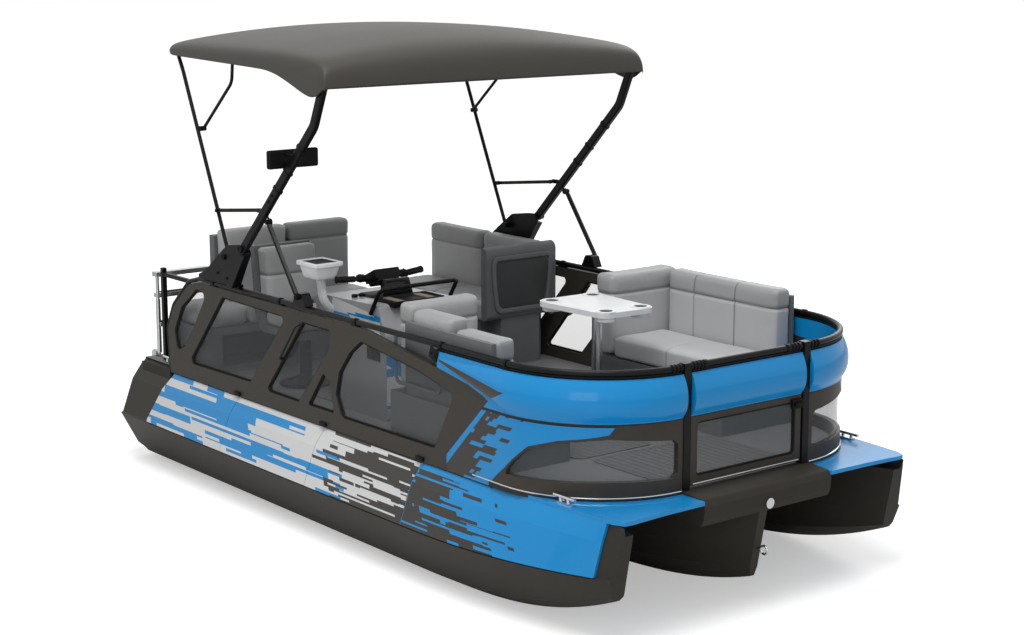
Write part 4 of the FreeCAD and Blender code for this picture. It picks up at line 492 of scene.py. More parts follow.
class BOAT_OT_finishes(bpy.types.Operator):
    """Makes the boat's finishes and gives one to every CAD node"""
    bl_idname = "boat.finishes"
    bl_label = "Finishes"

    def execute(self, context):
        c = colours()
        FINISH["hull polymer"] = moulded_polymer("hull polymer", c.hull, 0.42, sizes().grain)
        FINISH["striped panel"] = gloss_gelcoat("striped panel", c.blue, striped_panel)
        FINISH["gloss blue"] = gloss_gelcoat("gloss blue", c.blue)
        FINISH["banded blue"] = gloss_gelcoat("banded blue", c.blue, banded_blue)
        FINISH["fence frame"] = powder_coat("fence frame", c.frame, 0.45)
        FINISH["smoked acrylic"] = smoked_acrylic("smoked acrylic")
        FINISH["powder black"] = powder_coat("powder black", c.black, 0.35)
        FINISH["black plastic"] = moulded_polymer("black plastic", c.black, 0.5, 0.002)
        FINISH["seat shell"] = moulded_polymer("seat shell", c.shell, 0.5, 0.002)
        FINISH["console skin"] = gloss_gelcoat("console skin", c.console, console_graphic)
        FINISH["dark shell"] = moulded_polymer("dark shell", colour("#4a4b4c"), 0.45, 0.002)
        FINISH["fitting steel"] = fitting_steel("fitting steel")
        FINISH["punched mesh"] = punched_mesh("punched mesh")
        FINISH["table top"] = moulded_polymer("table top", c.table, 0.25, 0.004, 0.1)
        FINISH["stainless"] = metal("stainless", colour("#c9cbcd"), 0.18, (1, 1, 8))
        FINISH["cast aluminium"] = metal("cast aluminium", colour("#8d9093"), 0.45, (1, 1, 1))
        FINISH["rubber"] = moulded_polymer("rubber", colour("#161616"), 0.7, 0.0015, 0.15)
        FINISH["deck skin"] = deck_skin("deck skin", c.hull)
        FINISH["tray pad"] = moulded_polymer("tray pad", colour("#7a7266"), 0.6, 0.0015, 0.15)
        FINISH["deck foam"] = grooved_foam("deck foam", colour("#6f7071"))
        FINISH["dark glass"] = gloss_gelcoat("dark glass", colour("#07090b"))
        FINISH["mirror silver"] = metal("mirror silver", colour("#dfe3e6"), 0.04, (1, 1, 1))
        FINISH["canopy cloth"] = woven_cloth("canopy cloth", c.cloth, sizes().weave)
        FINISH["seat vinyl"] = marine_vinyl("seat vinyl", c.vinyl)
        for name, members in CAD_FINISHES.items():
            for node_name in members:
                paint(node_name, name)
        return {"FINISHED"}


def only(obj):
    """Selects one object and nothing else."""
    bpy.ops.object.select_all(action="DESELECT")
    obj.select_set(True)
    bpy.context.view_layer.objects.active = obj


def pieces_of(node_name):
    """Copies of a CAD node's solids as separate closed meshes, in order along x, y and z."""
    obj = NODES[node_name].copy()
    obj.data = obj.data.copy()
    obj.parent = None
    obj.name = "copy_" + node_name
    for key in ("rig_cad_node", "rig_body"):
        if key in obj:
            del obj[key]
    bpy.context.scene.collection.objects.link(obj)
    obj.hide_render = False
    obj.hide_viewport = False
    only(obj)
    bpy.ops.object.mode_set(mode="EDIT")
    bpy.ops.mesh.select_all(action="SELECT")
    bpy.ops.mesh.remove_doubles(threshold=0.00002)
    bpy.ops.mesh.separate(type="LOOSE")
    bpy.ops.object.mode_set(mode="OBJECT")
    found = [o for o in bpy.context.selected_objects if o.type == "MESH"]
    return sorted(found, key=lambda o: tuple(round(v, 2) for v in middle(o)))


def middle(obj):
    """The middle of an object's mesh."""
    corners = [Vector(c) for c in obj.bound_box]
    return sum(corners, Vector()) / 8


def apply_all(obj):
    """Applies every modifier of an object."""
    only(obj)
    for name in [mod.name for mod in obj.modifiers]:
        bpy.ops.object.modifier_apply(modifier=name)


PAD_INSET = 0.45
CLOTH_FRAMES = 20
SEAM_REACH = 3
ROLL_FADE = 0.008


def puff_up(obj, puff):
    """Swells a pad by cloth pressure, with each point's move capped."""
    rest = [v.co.copy() for v in obj.data.vertices]
    cloth = obj.modifiers.new("Cloth", "CLOTH")
    cloth.settings.use_pressure = True
    cloth.settings.uniform_pressure_force = 4.0
    cloth.settings.tension_stiffness = 20
    cloth.settings.compression_stiffness = 20
    cloth.settings.effector_weights.gravity = 0.0
    cloth.point_cache.frame_end = CLOTH_FRAMES
    scene = bpy.context.scene
    for number in range(1, CLOTH_FRAMES + 1):
        scene.frame_set(number)
    shown = obj.evaluated_get(bpy.context.evaluated_depsgraph_get())
    moved = [v.co.copy() for v in shown.data.vertices]
    obj.modifiers.remove(cloth)
    scene.frame_set(1)
    for vertex, a, b in zip(obj.data.vertices, rest, moved):
        step = b - a
        if step.length > puff:
            step *= puff / step.length
        vertex.co = a + step


def press_seams(obj, seams, roll_z):
    """Pulls the skin in along flat seam planes and notes the seams, for the vinyl's painted shade in them,
    and the top roll, for its darker tone.
    """
    mesh = obj.data
    mesh.update()
    normals = [v.normal.copy() for v in mesh.vertices]
    seam = mesh.attributes.new("seam", "FLOAT", "POINT")
    roll = mesh.attributes.new("roll", "FLOAT", "POINT")
    for vertex, normal in zip(mesh.vertices, normals):
        for axis, at, depth, width in seams:
            off = abs(vertex.co[axis] - at) / width
            if off < SEAM_REACH:
                vertex.co -= normal * depth * math.exp(-off * off)
                # The seam value sets how much painted shade the vinyl puts in the crease.
                seam.data[vertex.index].value = max(seam.data[vertex.index].value, math.exp(-2.5 * off * off))
        above = (vertex.co.z - roll_z) / ROLL_FADE
        roll.data[vertex.index].value = min(1.0, max(0.0, above)) if roll_z else 0.0


def make_pad(obj, name, body, seams):
    """Turns a closed block into an upholstered pad that rides on a body."""
    s = sizes()
    obj.name = name
    remesh = obj.modifiers.new("Remesh", "REMESH")
    remesh.mode = "VOXEL"
    remesh.voxel_size = s.voxel
    apply_all(obj)
    for vertex in obj.data.vertices:
        vertex.co -= vertex.normal * s.puff * PAD_INSET
    puff_up(obj, s.puff)
    smooth = obj.modifiers.new("Smooth", "SMOOTH")
    smooth.iterations = 2
    finer = obj.modifiers.new("Finer", "SUBSURF")
    finer.levels = 1
    finer.render_levels = 1
    apply_all(obj)
    tops = [at for axis, at, depth, width in seams if axis == 2]
    press_seams(obj, seams, max(tops) if tops else 0.0)
    for poly in obj.data.polygons:
        poly.use_smooth = True
    obj.data.materials.clear()
    obj.data.materials.append(FINISH["seat vinyl"])
    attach(obj, body)
    return obj


UP = (0, 0, 1)


def add_block(x0, x1, y0, y1, z0, z1, turn=(0, 0, 0)):
    """A block between two corners, turned about its middle, with its place in its mesh."""
    bpy.ops.object.select_all(action="DESELECT")
    bpy.ops.mesh.primitive_cube_add(size=1, location=((x0 + x1) / 2, (y0 + y1) / 2, (z0 + z1) / 2),
                                    rotation=turn, scale=(x1 - x0, y1 - y0, z1 - z0))
    bpy.ops.object.transform_apply(location=True, rotation=True, scale=True)
    return bpy.context.object


def add_round(at, axis, radius, depth, sides=24):
    """A round bar that stands on a point and runs along an axis."""
    along = Vector(axis).normalized()
    bpy.ops.object.select_all(action="DESELECT")
    bpy.ops.mesh.primitive_cylinder_add(vertices=sides, radius=radius, depth=depth,
                                        location=Vector(at) + along * depth / 2,
                                        rotation=along.to_track_quat("Z", "Y").to_euler())
    bpy.ops.object.transform_apply(location=True, rotation=True, scale=True)
    return bpy.context.object


def add_bead(points, radius):
    """A round bead along a line through points."""
    curve = bpy.data.curves.new("bead", "CURVE")
    curve.dimensions = "3D"
    curve.bevel_depth = radius
    curve.bevel_resolution = 2
    curve.use_fill_caps = True
    spline = curve.splines.new("POLY")
    spline.points.add(len(points) - 1)
    for spot, point in zip(spline.points, points):
        spot.co = (*point, 1)
    obj = bpy.data.objects.new("bead", curve)
    bpy.context.scene.collection.objects.link(obj)
    only(obj)
    bpy.ops.object.convert(target="MESH")
    return bpy.context.object


def pick(obj, test):
    """Selects the faces that pass a test and enters edit mode."""
    only(obj)
    mesh = obj.data
    for group in (mesh.vertices, mesh.edges, mesh.polygons):
        group.foreach_set("select", [False] * len(group))
    for poly in mesh.polygons:
        poly.select = test(poly)
    bpy.ops.object.mode_set(mode="EDIT")
    bpy.ops.mesh.select_mode(type="FACE")


def facing(axis):
    """A test for faces that look along an axis, to within about 26 degrees."""
    along = Vector(axis)
    return lambda poly: poly.normal.dot(along) > 0.9


def sink(obj, test, rim, depth, slope=0.0015):
    """Insets the faces that pass a test and pushes them in; a negative depth raises them."""
    pick(obj, test)
    bpy.ops.mesh.inset(thickness=rim)
    bpy.ops.mesh.inset(thickness=slope, depth=-depth)
    bpy.ops.object.mode_set(mode="OBJECT")


def round_edges(obj, width, segments=2):
    """Rounds the sharp edges of a piece."""
    bevel = obj.modifiers.new("Edges", "BEVEL")
    bevel.width = width
    bevel.segments = segments
    bevel.limit_method = "ANGLE"
    apply_all(obj)


def soft_block(x0, x1, y0, y1, z0, z1, width, segments=2, turn=(0, 0, 0)):
    """A block with rounded edges."""
    obj = add_block(x0, x1, y0, y1, z0, z1, turn)
    round_edges(obj, width, segments)
    return obj


def soft_round(at, axis, radius, depth, sides, width):
    """A round bar with rounded edges."""
    obj = add_round(at, axis, radius, depth, sides)
    round_edges(obj, width)
    return obj


def taper(obj, axis, share):
    """Scales the faces that look along an axis by a share in x and in y."""
    pick(obj, facing(axis))
    bpy.ops.transform.resize(value=(*share, 1))
    bpy.ops.object.mode_set(mode="OBJECT")


def moved(obj, step):
    """A copy of a piece with its own mesh, moved by a step."""
    twin = obj.copy()
    twin.data = obj.data.copy()
    bpy.context.scene.collection.objects.link(twin)
    twin.data.transform(Matrix.Translation(Vector(step)))
    return twin


def mirrored(obj):
    """A copy of a piece on the other side of the boat."""
    twin = obj.copy()
    twin.data = obj.data.copy()
    bpy.context.scene.collection.objects.link(twin)
    twin.data.transform(Matrix.Scale(-1, 4, (0, 1, 0)))
    twin.data.flip_normals()
    return twin


def both_sides(pieces):
    """Port pieces with their mirror images to starboard."""
    return pieces + [mirrored(piece) for piece in pieces]


def spread(obj, places):
    """A piece at the first of its places, with a copy at each other place."""
    start = Vector(places[0])
    return [obj] + [moved(obj, Vector(spot) - start) for spot in places[1:]]


def gather(pieces):
    """Joins pieces into one."""
    only(pieces[0])
    for piece in pieces[1:]:
        piece.select_set(True)
    if len(pieces) > 1:
        bpy.ops.object.join()
    return pieces[0]


def settle(obj, name, body, finish_name):
    """Names a finished piece, gives it its finish and lets it ride on a body."""
    obj.name = name
    obj.data.name = name
    only(obj)
    bpy.ops.object.shade_smooth_by_angle(angle=math.radians(40))
    obj.data.materials.clear()
    obj.data.materials.append(FINISH[finish_name])
    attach(obj, body)
    return obj


def bolts(places, axis, radius=0.007, height=0.005):
    """Socket-head bolts at places, standing along an axis."""
    one = add_round(places[0], axis, radius, height, 12)
    sink(one, facing(axis), radius * 0.4, height * 0.5)
    round_edges(one, radius * 0.12, 1)
    return spread(one, places)


def knob(at, axis, radius=0.019, depth=0.014):
    """A clamp knob with flats round its edge and a sunk middle."""
    obj = add_round(at, axis, radius, depth, 10)
    sink(obj, facing(axis), radius * 0.3, depth * 0.3)
    round_edges(obj, 0.002, 2)
    return obj


ROLL = 0.125
LINE = (0.006, 0.006)


def across(top):
    """The seam under a back's top roll."""
    return (2, top - ROLL, 0.008, 0.008)


PADS = {
    "lounge_seat": ("lounge_lid", [[(0, 1.07, *LINE)]]),
    "lounge_back": ("hull", [[across(1.473)], [across(1.473), (0, 0.86, *LINE), (0, 1.20, *LINE)]]),
    "bench_seat": ("bench_lid", [[(0, 1.0, *LINE)]]),
    "bench_back": ("hull", [[across(1.473)], [across(1.453)], [across(1.403)]]),
    "companion_cushion": ("hull", [[across(1.473)], [(0, -1.27, *LINE)], [across(1.473)]]),
    "stern_seat": ("stern_lid", [[]]),
    "stern_back": ("hull", [[], [across(1.56)], [across(1.56)]]),
    "chair_cushion": ("chair", [[(2, 1.36, 0.008, 0.008)], [(0, -0.95, *LINE)]]),
}


class BOAT_OT_pads(bpy.types.Operator):
    """Makes every seat and back cushion from its CAD block"""
    bl_idname = "boat.pads"
    bl_label = "Cushions"

    def execute(self, context):
        for node_name, (body, seams) in PADS.items():
            solids = pieces_of(node_name)
            if len(solids) != len(seams):
                found = (node_name, len(solids), len(seams))
                raise RuntimeError("%s has %d solids and %d seam lists" % found)
            for number, (solid, lines) in enumerate(zip(solids, seams), 1):
                pad = make_pad(solid, "%s_pad_%d" % (node_name, number), body, lines)
                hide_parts(node_name)
        return {"FINISHED"}


CANOPY = [(-1.810, 1.112, 2.700, 2.772, 2.850), (-1.700, 1.118, 2.698, 2.785, 2.872),
          (-1.200, 1.140, 2.688, 2.788, 2.898), (-0.700, 1.158, 2.678, 2.790, 2.902),
          (-0.520, 1.163, 2.672, 2.788, 2.896), (-0.300, 1.169, 2.610, 2.780, 2.878),
          (-0.080, 1.174, 2.530, 2.768, 2.846), (0.010, 1.175, 2.575, 2.742, 2.800),
          (0.056, 1.172, 2.612, 2.700, 2.735)]


def canopy_ring(x, half, low, edge, top):
    """One cross line of the canopy from its port edge over the crown to its starboard edge."""
    points = [(half, low), (half, (low + edge) / 2), (half - 0.004, edge - 0.03), (half - 0.03, edge)]
    for k in range(1, 9):
        y = (half - 0.03) * (1 - k / 8)
        points.append((y, edge + (top - edge) * (1 - (y / half) ** 2)))
    points += [(-y, z) for y, z in reversed(points[:-1])]
    return [(x, y, z) for y, z in points]


PANE_SIDES = {"glass_port": 1, "glass_starboard": -1}
GASKET_W = 0.011
GASKET_T = 0.011


class BOAT_OT_gaskets(bpy.types.Operator):
    """Makes the rubber frames round the fence's windows and the gate's"""
    bl_idname = "boat.gaskets"
    bl_label = "Window gaskets"

    def execute(self, context):
        for node_name, side in PANE_SIDES.items():
            rings = [self.ring(pane, (0, side, 0)) for pane in pieces_of(node_name)]
            rings = [ring for ring in rings if ring]
            settle(gather(rings), "gaskets_" + node_name, "hull", "rubber")
        rings = [self.ring(pane, (1, 0, 0)) for pane in pieces_of("gate_glass")]
        settle(gather(rings), "gaskets_gate", "gate", "rubber")
        return {"FINISHED"}

    def ring(self, pane, outward):
        """Turns a flat pane into the frame round its edge; a curved pane is dropped."""
        only(pane)
        bpy.ops.object.mode_set(mode="EDIT")
        bpy.ops.mesh.select_all(action="SELECT")
        bpy.ops.mesh.dissolve_limited(angle_limit=math.radians(1))
        bpy.ops.object.mode_set(mode="OBJECT")
        out = Vector(outward)
        face = max(pane.data.polygons, key=lambda poly: poly.area * max(0.0, poly.normal.dot(out)))
        if face.normal.dot(out) < 0.99 or face.area < 0.01:
            bpy.data.objects.remove(pane)
            return None
        number = face.index
        pick(pane, lambda poly: poly.index != number)
        bpy.ops.mesh.delete(type="FACE")
        bpy.ops.mesh.select_all(action="SELECT")
        bpy.ops.mesh.inset(thickness=GASKET_W)
        bpy.ops.mesh.delete(type="FACE")
        bpy.ops.mesh.select_all(action="SELECT")
        bpy.ops.object.mode_set(mode="OBJECT")
        thick = pane.modifiers.new("Thick", "SOLIDIFY")
        thick.thickness = GASKET_T
        thick.offset = 0
        apply_all(pane)
        round_edges(pane, 0.0015, 1)
        return pane


GATE_X = 2.180
RAIL_Y = 1.083
RAIL_Z = 1.312
STRAP_RADIUS = 0.0215
CLAMPS = [(-1.38, 1.290), (-0.60, 1.290), (0.20, 1.290), (1.010, 1.280), (1.560, 1.280)]


class BOAT_OT_rail_clamps(bpy.types.Operator):
    """Makes the saddle clamps that hold the top rail, with their bolts"""
    bl_idname = "boat.rail_clamps"
    bl_label = "Rail clamps"

    def execute(self, context):
        made = []
        for x, z in CLAMPS:
            strap = add_round((x - 0.014, RAIL_Y, RAIL_Z), (1, 0, 0), STRAP_RADIUS, 0.028)
            sink(strap, lambda poly: abs(poly.normal.x) > 0.9, 0.002, 0.002)
            round_edges(strap, 0.002)
            foot = soft_block(x - 0.036, x + 0.036, RAIL_Y - 0.016, RAIL_Y + 0.016, z, z + 0.008, 0.003)
            places = [(x + side * 0.027, RAIL_Y, z + 0.008) for side in (-1, 1)]
            made += [strap, foot] + bolts(places, UP, 0.006)
        settle(gather(both_sides(made)), "rail_clamps", "hull", "black plastic")
        grips = []
        for y in (-0.300, 0.300):
            strap = soft_round((GATE_X, y - 0.014, RAIL_Z), (0, 1, 0), STRAP_RADIUS, 0.028, 24, 0.002)
            foot = soft_block(2.164, 2.196, y - 0.036, y + 0.036, 1.280, 1.288, 0.003)
            places = [(GATE_X, y + side * 0.027, 1.288) for side in (-1, 1)]
            grips += [strap, foot] + bolts(places, UP, 0.006)
        settle(gather(grips), "gate_rail_clamps", "gate", "black plastic")
        return {"FINISHED"}


ARCH_PIVOT = (-0.925, 1.588)
ARCH_BEND = (-0.118, 2.382)
LEG_SLOPE = (ARCH_BEND[1] - ARCH_PIVOT[1], ARCH_BEND[0] - ARCH_PIVOT[0])
LEG_TURN = -math.atan2(*LEG_SLOPE)
LEG_Y = 1.134
ARCH_OUT = 1.152
PLATE_OUT = 1.111
PROP_OUT = 1.144
LINK_OUT = 1.0957
PLATE_BOLTS = [(-1.290, 1.392), (-1.180, 1.372), (-1.060, 1.372), (-0.990, 1.500)]


class BOAT_OT_bimini_hardware(bpy.types.Operator):
    """Makes the bimini's knobs, bolts and clamp bands"""
    bl_idname = "boat.bimini_hardware"
    bl_label = "Bimini hardware"

    def execute(self, context):
        out = (0, 1, 0)
        self.both([knob((ARCH_PIVOT[0], ARCH_OUT, ARCH_PIVOT[1]), out, 0.024, 0.016)]
                  + bolts([(-0.600, ARCH_OUT, 1.908), (-0.560, ARCH_OUT, 1.947)], out, 0.008)
                  + [self.band(-0.520, 0.030), self.band(-0.405, 0.022), self.band(-0.255, 0.030)],
                  "arch_hardware", "arch")
        self.both([knob((-1.205, PLATE_OUT, 1.500), out, 0.017, 0.012)]
                  + bolts([(x, PLATE_OUT, z) for x, z in PLATE_BOLTS], out, 0.009, 0.006),
                  "plate_hardware", "hull")
        self.both([knob((x, PROP_OUT, z), out, 0.013, 0.010) for x, z in ((-0.636, 1.784), (-0.331, 1.380))],
                  "prop_hardware", "props")
        self.both([knob((x, LINK_OUT, z), out, 0.012, 0.009) for x, z in ((-1.305, 1.776), (-0.750, 1.838))],
                  "link_hardware", "links")
        return {"FINISHED"}

    def both(self, pieces, name, body):
        """Settles port pieces and their mirror images as one."""
        settle(gather(both_sides(pieces)), name, body, "black plastic")

    def band(self, x, wide):
        """A clamp band round the arch's sloping leg at x."""
        z = ARCH_PIVOT[1] + (x - ARCH_PIVOT[0]) * LEG_SLOPE[0] / LEG_SLOPE[1]
        return soft_block(x - wide / 2, x + wide / 2, LEG_Y - 0.0205, LEG_Y + 0.0205, z - 0.0305, z + 0.0305,
                          0.006, turn=(0, LEG_TURN, 0))


MAT_Z = 0.6735
MAT_THICK = 0.005
MAT_CORNER = 0.05
MATS = {"mat_bow": (1.46, 2.08, -0.44, 0.44), "mat_aisle": (-1.54, 0.40, -0.21, 0.45),
        "mat_helm": (-0.85, -0.46, -0.79, -0.29), "mat_mid": (0.44, 1.42, -0.48, 0.06),
        "mat_stern": (-2.335, -2.085, -0.98, 0.98)}


class BOAT_OT_deck_mats(bpy.types.Operator):
    """Makes the grooved foam mats on the deck"""
    bl_idname = "boat.deck_mats"
    bl_label = "Deck mats"

    def execute(self, context):
        for name, (x0, x1, y0, y1) in MATS.items():
            mat = add_block(x0, x1, y0, y1, MAT_Z, MAT_Z + MAT_THICK)
            pick(mat, lambda poly: False)
            bpy.ops.mesh.select_mode(type="EDGE")
            bpy.ops.object.mode_set(mode="OBJECT")
            for edge in mat.data.edges:
                a, b = (mat.data.vertices[i].co for i in edge.vertices)
                edge.select = abs(a.z - b.z) > 0.001
            bpy.ops.object.mode_set(mode="EDIT")
            bpy.ops.mesh.bevel(offset=MAT_CORNER, segments=6, affect="EDGES")
            bpy.ops.object.mode_set(mode="OBJECT")
            sink(mat, facing(UP), 0.018, 0.0015)
            settle(mat, name, "hull", "deck foam")
        return {"FINISHED"}


GRIP_SPACING = 0.0125
BAR_FOOT = (-0.270, -0.550, 1.349)
BAR_TILT = math.radians(25)


class BOAT_OT_helm_details(bpy.types.Operator):
    """Makes the handlebar's grips and pods, the cup tray, and what stands on the console and its faces"""
    bl_idname = "boat.helm_details"
    bl_label = "Helm details"

    def execute(self, context):
        self.grips()
        self.tray_pod()
        self.display()
        self.console_tray()
        self.vent()
        return {"FINISHED"}

    def grips(self):
        """Ribbed rubber sleeves on the handlebar's ends, with switch pods, levers and a centre cover."""
        made = []
        switches = []
        upward = (-math.sin(BAR_TILT), 0, math.cos(BAR_TILT))
        top = Vector(BAR_FOOT) + Vector(upward) * 0.060
        for side in (1, -1):
            inner = top + Vector((-0.027, side * 0.190, 0.042))
            outer = top + Vector((-0.056, side * 0.302, 0.0455))
            along = (outer - inner).normalized()
            sleeve = soft_round(inner, along, 0.0175, (outer - inner).length, 24, 0.003)
            rib = soft_round(inner + along * 0.006, along, 0.0200, 0.006, 24, 0.002)
            made += [sleeve, rib] + [moved(rib, along * GRIP_SPACING * k) for k in range(1, 8)]
            made.append(soft_round(outer - along * 0.004, along, 0.022, 0.010, 24, 0.003))
            at = top + Vector((-0.022, side * 0.150, 0.041))
            pod = soft_block(at.x - 0.024, at.x + 0.024, at.y - 0.026, at.y + 0.026,
                             at.z - 0.020, at.z + 0.024, 0.009, 3)
            button = soft_round(at + Vector((-0.006, side * 0.008, 0.022)), UP, 0.007, 0.006, 16, 0.0015)
            lever = add_bead([at + Vector((x, side * y, z)) for x, y, z in
                              ((0.018, 0.010, 0.004), (0.036, 0.045, 0.006), (0.026, 0.130, 0.006))], 0.0055)
            switches += [pod, button, lever]
        settle(gather(made), "helm_grips", "helm", "rubber")
        settle(gather(switches), "helm_switch_pods", "helm", "black plastic")
        pad = add_block(top.x - 0.078, top.x + 0.046, top.y - 0.088, top.y + 0.088, top.z + 0.004,
                        top.z + 0.060, (0, -BAR_TILT, 0))
        pad.data.transform(Matrix.Translation((-0.006, 0, 0.012)))
        sink(pad, facing(upward), 0.014, 0.004)
        round_edges(pad, 0.007, 3)
        settle(pad, "helm_pad_cover", "helm", "black plastic")

    def tray_pod(self):
        """The white bowl tray beside the driver on its thick arm, with a dark mat in it."""
        rim = add_block(-0.572, -0.356, -0.9900, -0.8000, 1.524, 1.5535)
        sink(rim, facing(UP), 0.012, 0.0120, 0.002)
        round_edges(rim, 0.008, 3)
        bowl = add_block(-0.562, -0.366, -0.9800, -0.8100, 1.448, 1.530)
        taper(bowl, (0, 0, -1), (0.80, 0.80))
        round_edges(bowl, 0.016, 4)
        arm = add_bead(arc_points([(-0.455, -0.900, 1.470), (-0.450, -0.893, 1.400), (-0.448, -0.885, 1.330),
                                   (-0.455, -0.850, 1.280), (-0.468, -0.806, 1.242)]), 0.026)
        settle(gather([rim, bowl, arm]), "tray_pod", "hull", "table top")
        mat = soft_block(-0.552, -0.376, -0.9700, -0.8200, 1.5450, 1.5475, 0.001, 1)
        settle(mat, "tray_mat", "hull", "rubber")

    def display(self):
        """The instrument hood ahead of the handlebar with its screen, the round switches and the plinth."""
        hood = add_block(-0.204, -0.156, -0.665, -0.435, 1.338, 1.452)
        pick(hood, facing(UP))
        bpy.ops.transform.resize(value=(0.55, 0.72, 1))
        bpy.ops.transform.translate(value=(0.006, 0, 0))
        bpy.ops.object.mode_set(mode="OBJECT")
        sink(hood, lambda poly: poly.normal.x < -0.9, 0.014, 0.004)
        round_edges(hood, 0.008, 4)
        settle(hood, "display_hood", "hull", "dark glass")
        knobs = [add_round((-0.330, y, 1.333), UP, 0.018, 0.020, 20) for y in (-0.740, -0.690, -0.400)]
        for one in knobs:
            sink(one, facing(UP), 0.005, 0.003)
            round_edges(one, 0.002)
        settle(gather(knobs), "console_switches", "hull", "black plastic")
        plinth = add_block(-0.400, -0.150, -0.700, -0.400, 1.330, 1.350)
        taper(plinth, UP, (0.80, 0.80))
        round_edges(plinth, 0.006, 3)
        settle(plinth, "console_plinth", "hull", "black plastic")

    def console_tray(self):
        """The shallow tray on the console's top, its two pads and the clamps of the hoop ahead of it."""
        tray = add_block(-0.128, 0.070, -0.735, -0.375, 1.328, 1.364)
        sink(tray, facing(UP), 0.010, 0.010, 0.002)
        round_edges(tray, 0.004, 3)
        settle(tray, "console_tray", "hull", "black plastic")
        pads = [add_block(-0.112, 0.054, y, y + 0.048, 1.352, 1.3605) for y in (-0.690, -0.475)]
        for one in pads:
            round_edges(one, 0.004, 3)
        settle(gather(pads), "tray_pads", "hull", "tray pad")
        clamps = [soft_round((0.128, y, 1.352), (0, 1, 0), 0.020, 0.022, 20, 0.003) for y in (-0.640, -0.465)]
        settle(gather(clamps), "hoop_clamps", "hull", "black plastic")

    def vent(self):
        """The punched vent on the console's front and the socket with its plug on the side."""
        grille = add_block(0.094, 0.099, -0.500, -0.325, 0.760, 1.110)
        sink(grille, facing((1, 0, 0)), 0.010, 0.003)
        round_edges(grille, 0.0012, 1)
        settle(grille, "console_vent", "hull", "punched mesh")
        socket = add_block(-0.090, 0.040, -0.8215, -0.8140, 1.020, 1.095)
        sink(socket, facing((0, -1, 0)), 0.010, 0.003)
        round_edges(socket, 0.0025, 2)
        plug = add_round((-0.055, -0.8185, 1.058), (0, -1, 0), 0.016, 0.006, 20)
        sink(plug, facing((0, -1, 0)), 0.004, 0.003)
        settle(gather([socket, plug]), "console_socket", "hull", "black plastic")


def arc_points(points, steps=6):
    """Points along a smooth curve through a few guide points."""
    out = []
    for k in range(len(points) - 1):
        p0, p1, p2, p3 = (Vector(points[min(max(k + j, 0), len(points) - 1)]) for j in (-1, 0, 1, 2))
        for step in range(steps):
            t = step / steps
            out.append(0.5 * (2 * p1 + (p2 - p0) * t + (2 * p0 - 5 * p1 + 4 * p2 - p3) * t * t
                              + (3 * p1 - p0 - 3 * p2 + p3) * t ** 3))
    return out + [Vector(points[-1])]


BAND_RADIUS = 0.620
FOOT_RADIUS = 0.6395
TRIM_Z = 1.287
FOOT_Z = 0.677
CLIPS_X = (-1.10, -0.13, 0.83)


def round_corner(start, radius):
    """A line from a start on the port side, then round the bow corner at the same height."""
    line = [start]
    for k in range(19):
        a = math.radians(90 - 5 * k)
        line.append((CORNER_X + radius * math.cos(a), CORNER_Y + radius * math.sin(a), start[2]))
    return line


def collars(places):
    """Narrow rings on the gate's rail line at places along y."""
    return [soft_round((GATE_X, y, RAIL_Z), (0, 1, 0), 0.0225, 0.014, 24, 0.003) for y in places]


class BOAT_OT_band_trim(bpy.types.Operator):
    """Makes the band's and gate's trim, rail collars, fence clips, foot strips and prop sleeves"""
    bl_idname = "boat.band_trim"
    bl_label = "Band trim"

    def execute(self, context):
        fin = add_bead(round_corner((0.995, RAIL_Y, TRIM_Z), BAND_RADIUS), 0.0105)
        port = [fin] + collars((0.466, 0.490, 0.514))
        settle(gather(both_sides(port)), "band_trim", "hull", "black plastic")
        plate = soft_block(0.925, 0.998, 1.098, 1.108, 1.228, 1.292, 0.004, 3, (0, 0.35, 0))
        clips = [soft_block(x - 0.034, x + 0.034, 1.096, 1.114, 0.652, 0.674, 0.004, 3) for x in CLIPS_X]
        hooks = [plate] + clips + bolts([(0.945, 1.108, 1.264), (0.978, 1.108, 1.250)], (0, 1, 0), 0.007)
        settle(gather(both_sides(hooks)), "fence_clips", "hull", "black plastic")
        bright = add_bead(round_corner((1.30, 1.1025, FOOT_Z), FOOT_RADIUS), 0.0045)
        settle(gather(both_sides([bright])), "fence_foot_strips", "hull", "stainless")
        sill = soft_block(2.194, 2.2015, -0.385, 0.385, 0.694, 0.704, 0.0025)
        settle(sill, "gate_foot_strip", "gate", "stainless")
        strip = add_bead([(GATE_X, -0.385, TRIM_Z), (GATE_X, 0.385, TRIM_Z)], 0.0105)
        rings = collars((-0.384, -0.360, -0.336, 0.322, 0.346, 0.370))
        settle(gather([strip] + rings), "gate_trim", "gate", "black plastic")
        sleeve = add_bead([(-0.624, 1.136, 1.768), (-0.343, 1.136, 1.396)], 0.0150)
        settle(gather(both_sides([sleeve])), "prop_sleeves", "props", "powder black")
        return {"FINISHED"}


COMPANION_RIM = [(0.548, 1.030), (0.982, 1.030), (1.012, 1.250), (1.012, 1.405), (0.518, 1.405),
                 (0.518, 1.250)]
COMPANION_WELL = [(0.580, 1.062), (0.950, 1.062), (0.980, 1.252), (0.980, 1.372), (0.550, 1.372),
                  (0.550, 1.252)]
BENCH_BOARDS = [(0.535, 0.955, 1.020, 1.315), (1.035, 1.355, 1.020, 1.315)]
CUP_PLACES = [(0.590, 0.010), (1.030, 0.040), (1.040, 0.290), (0.600, 0.310)]


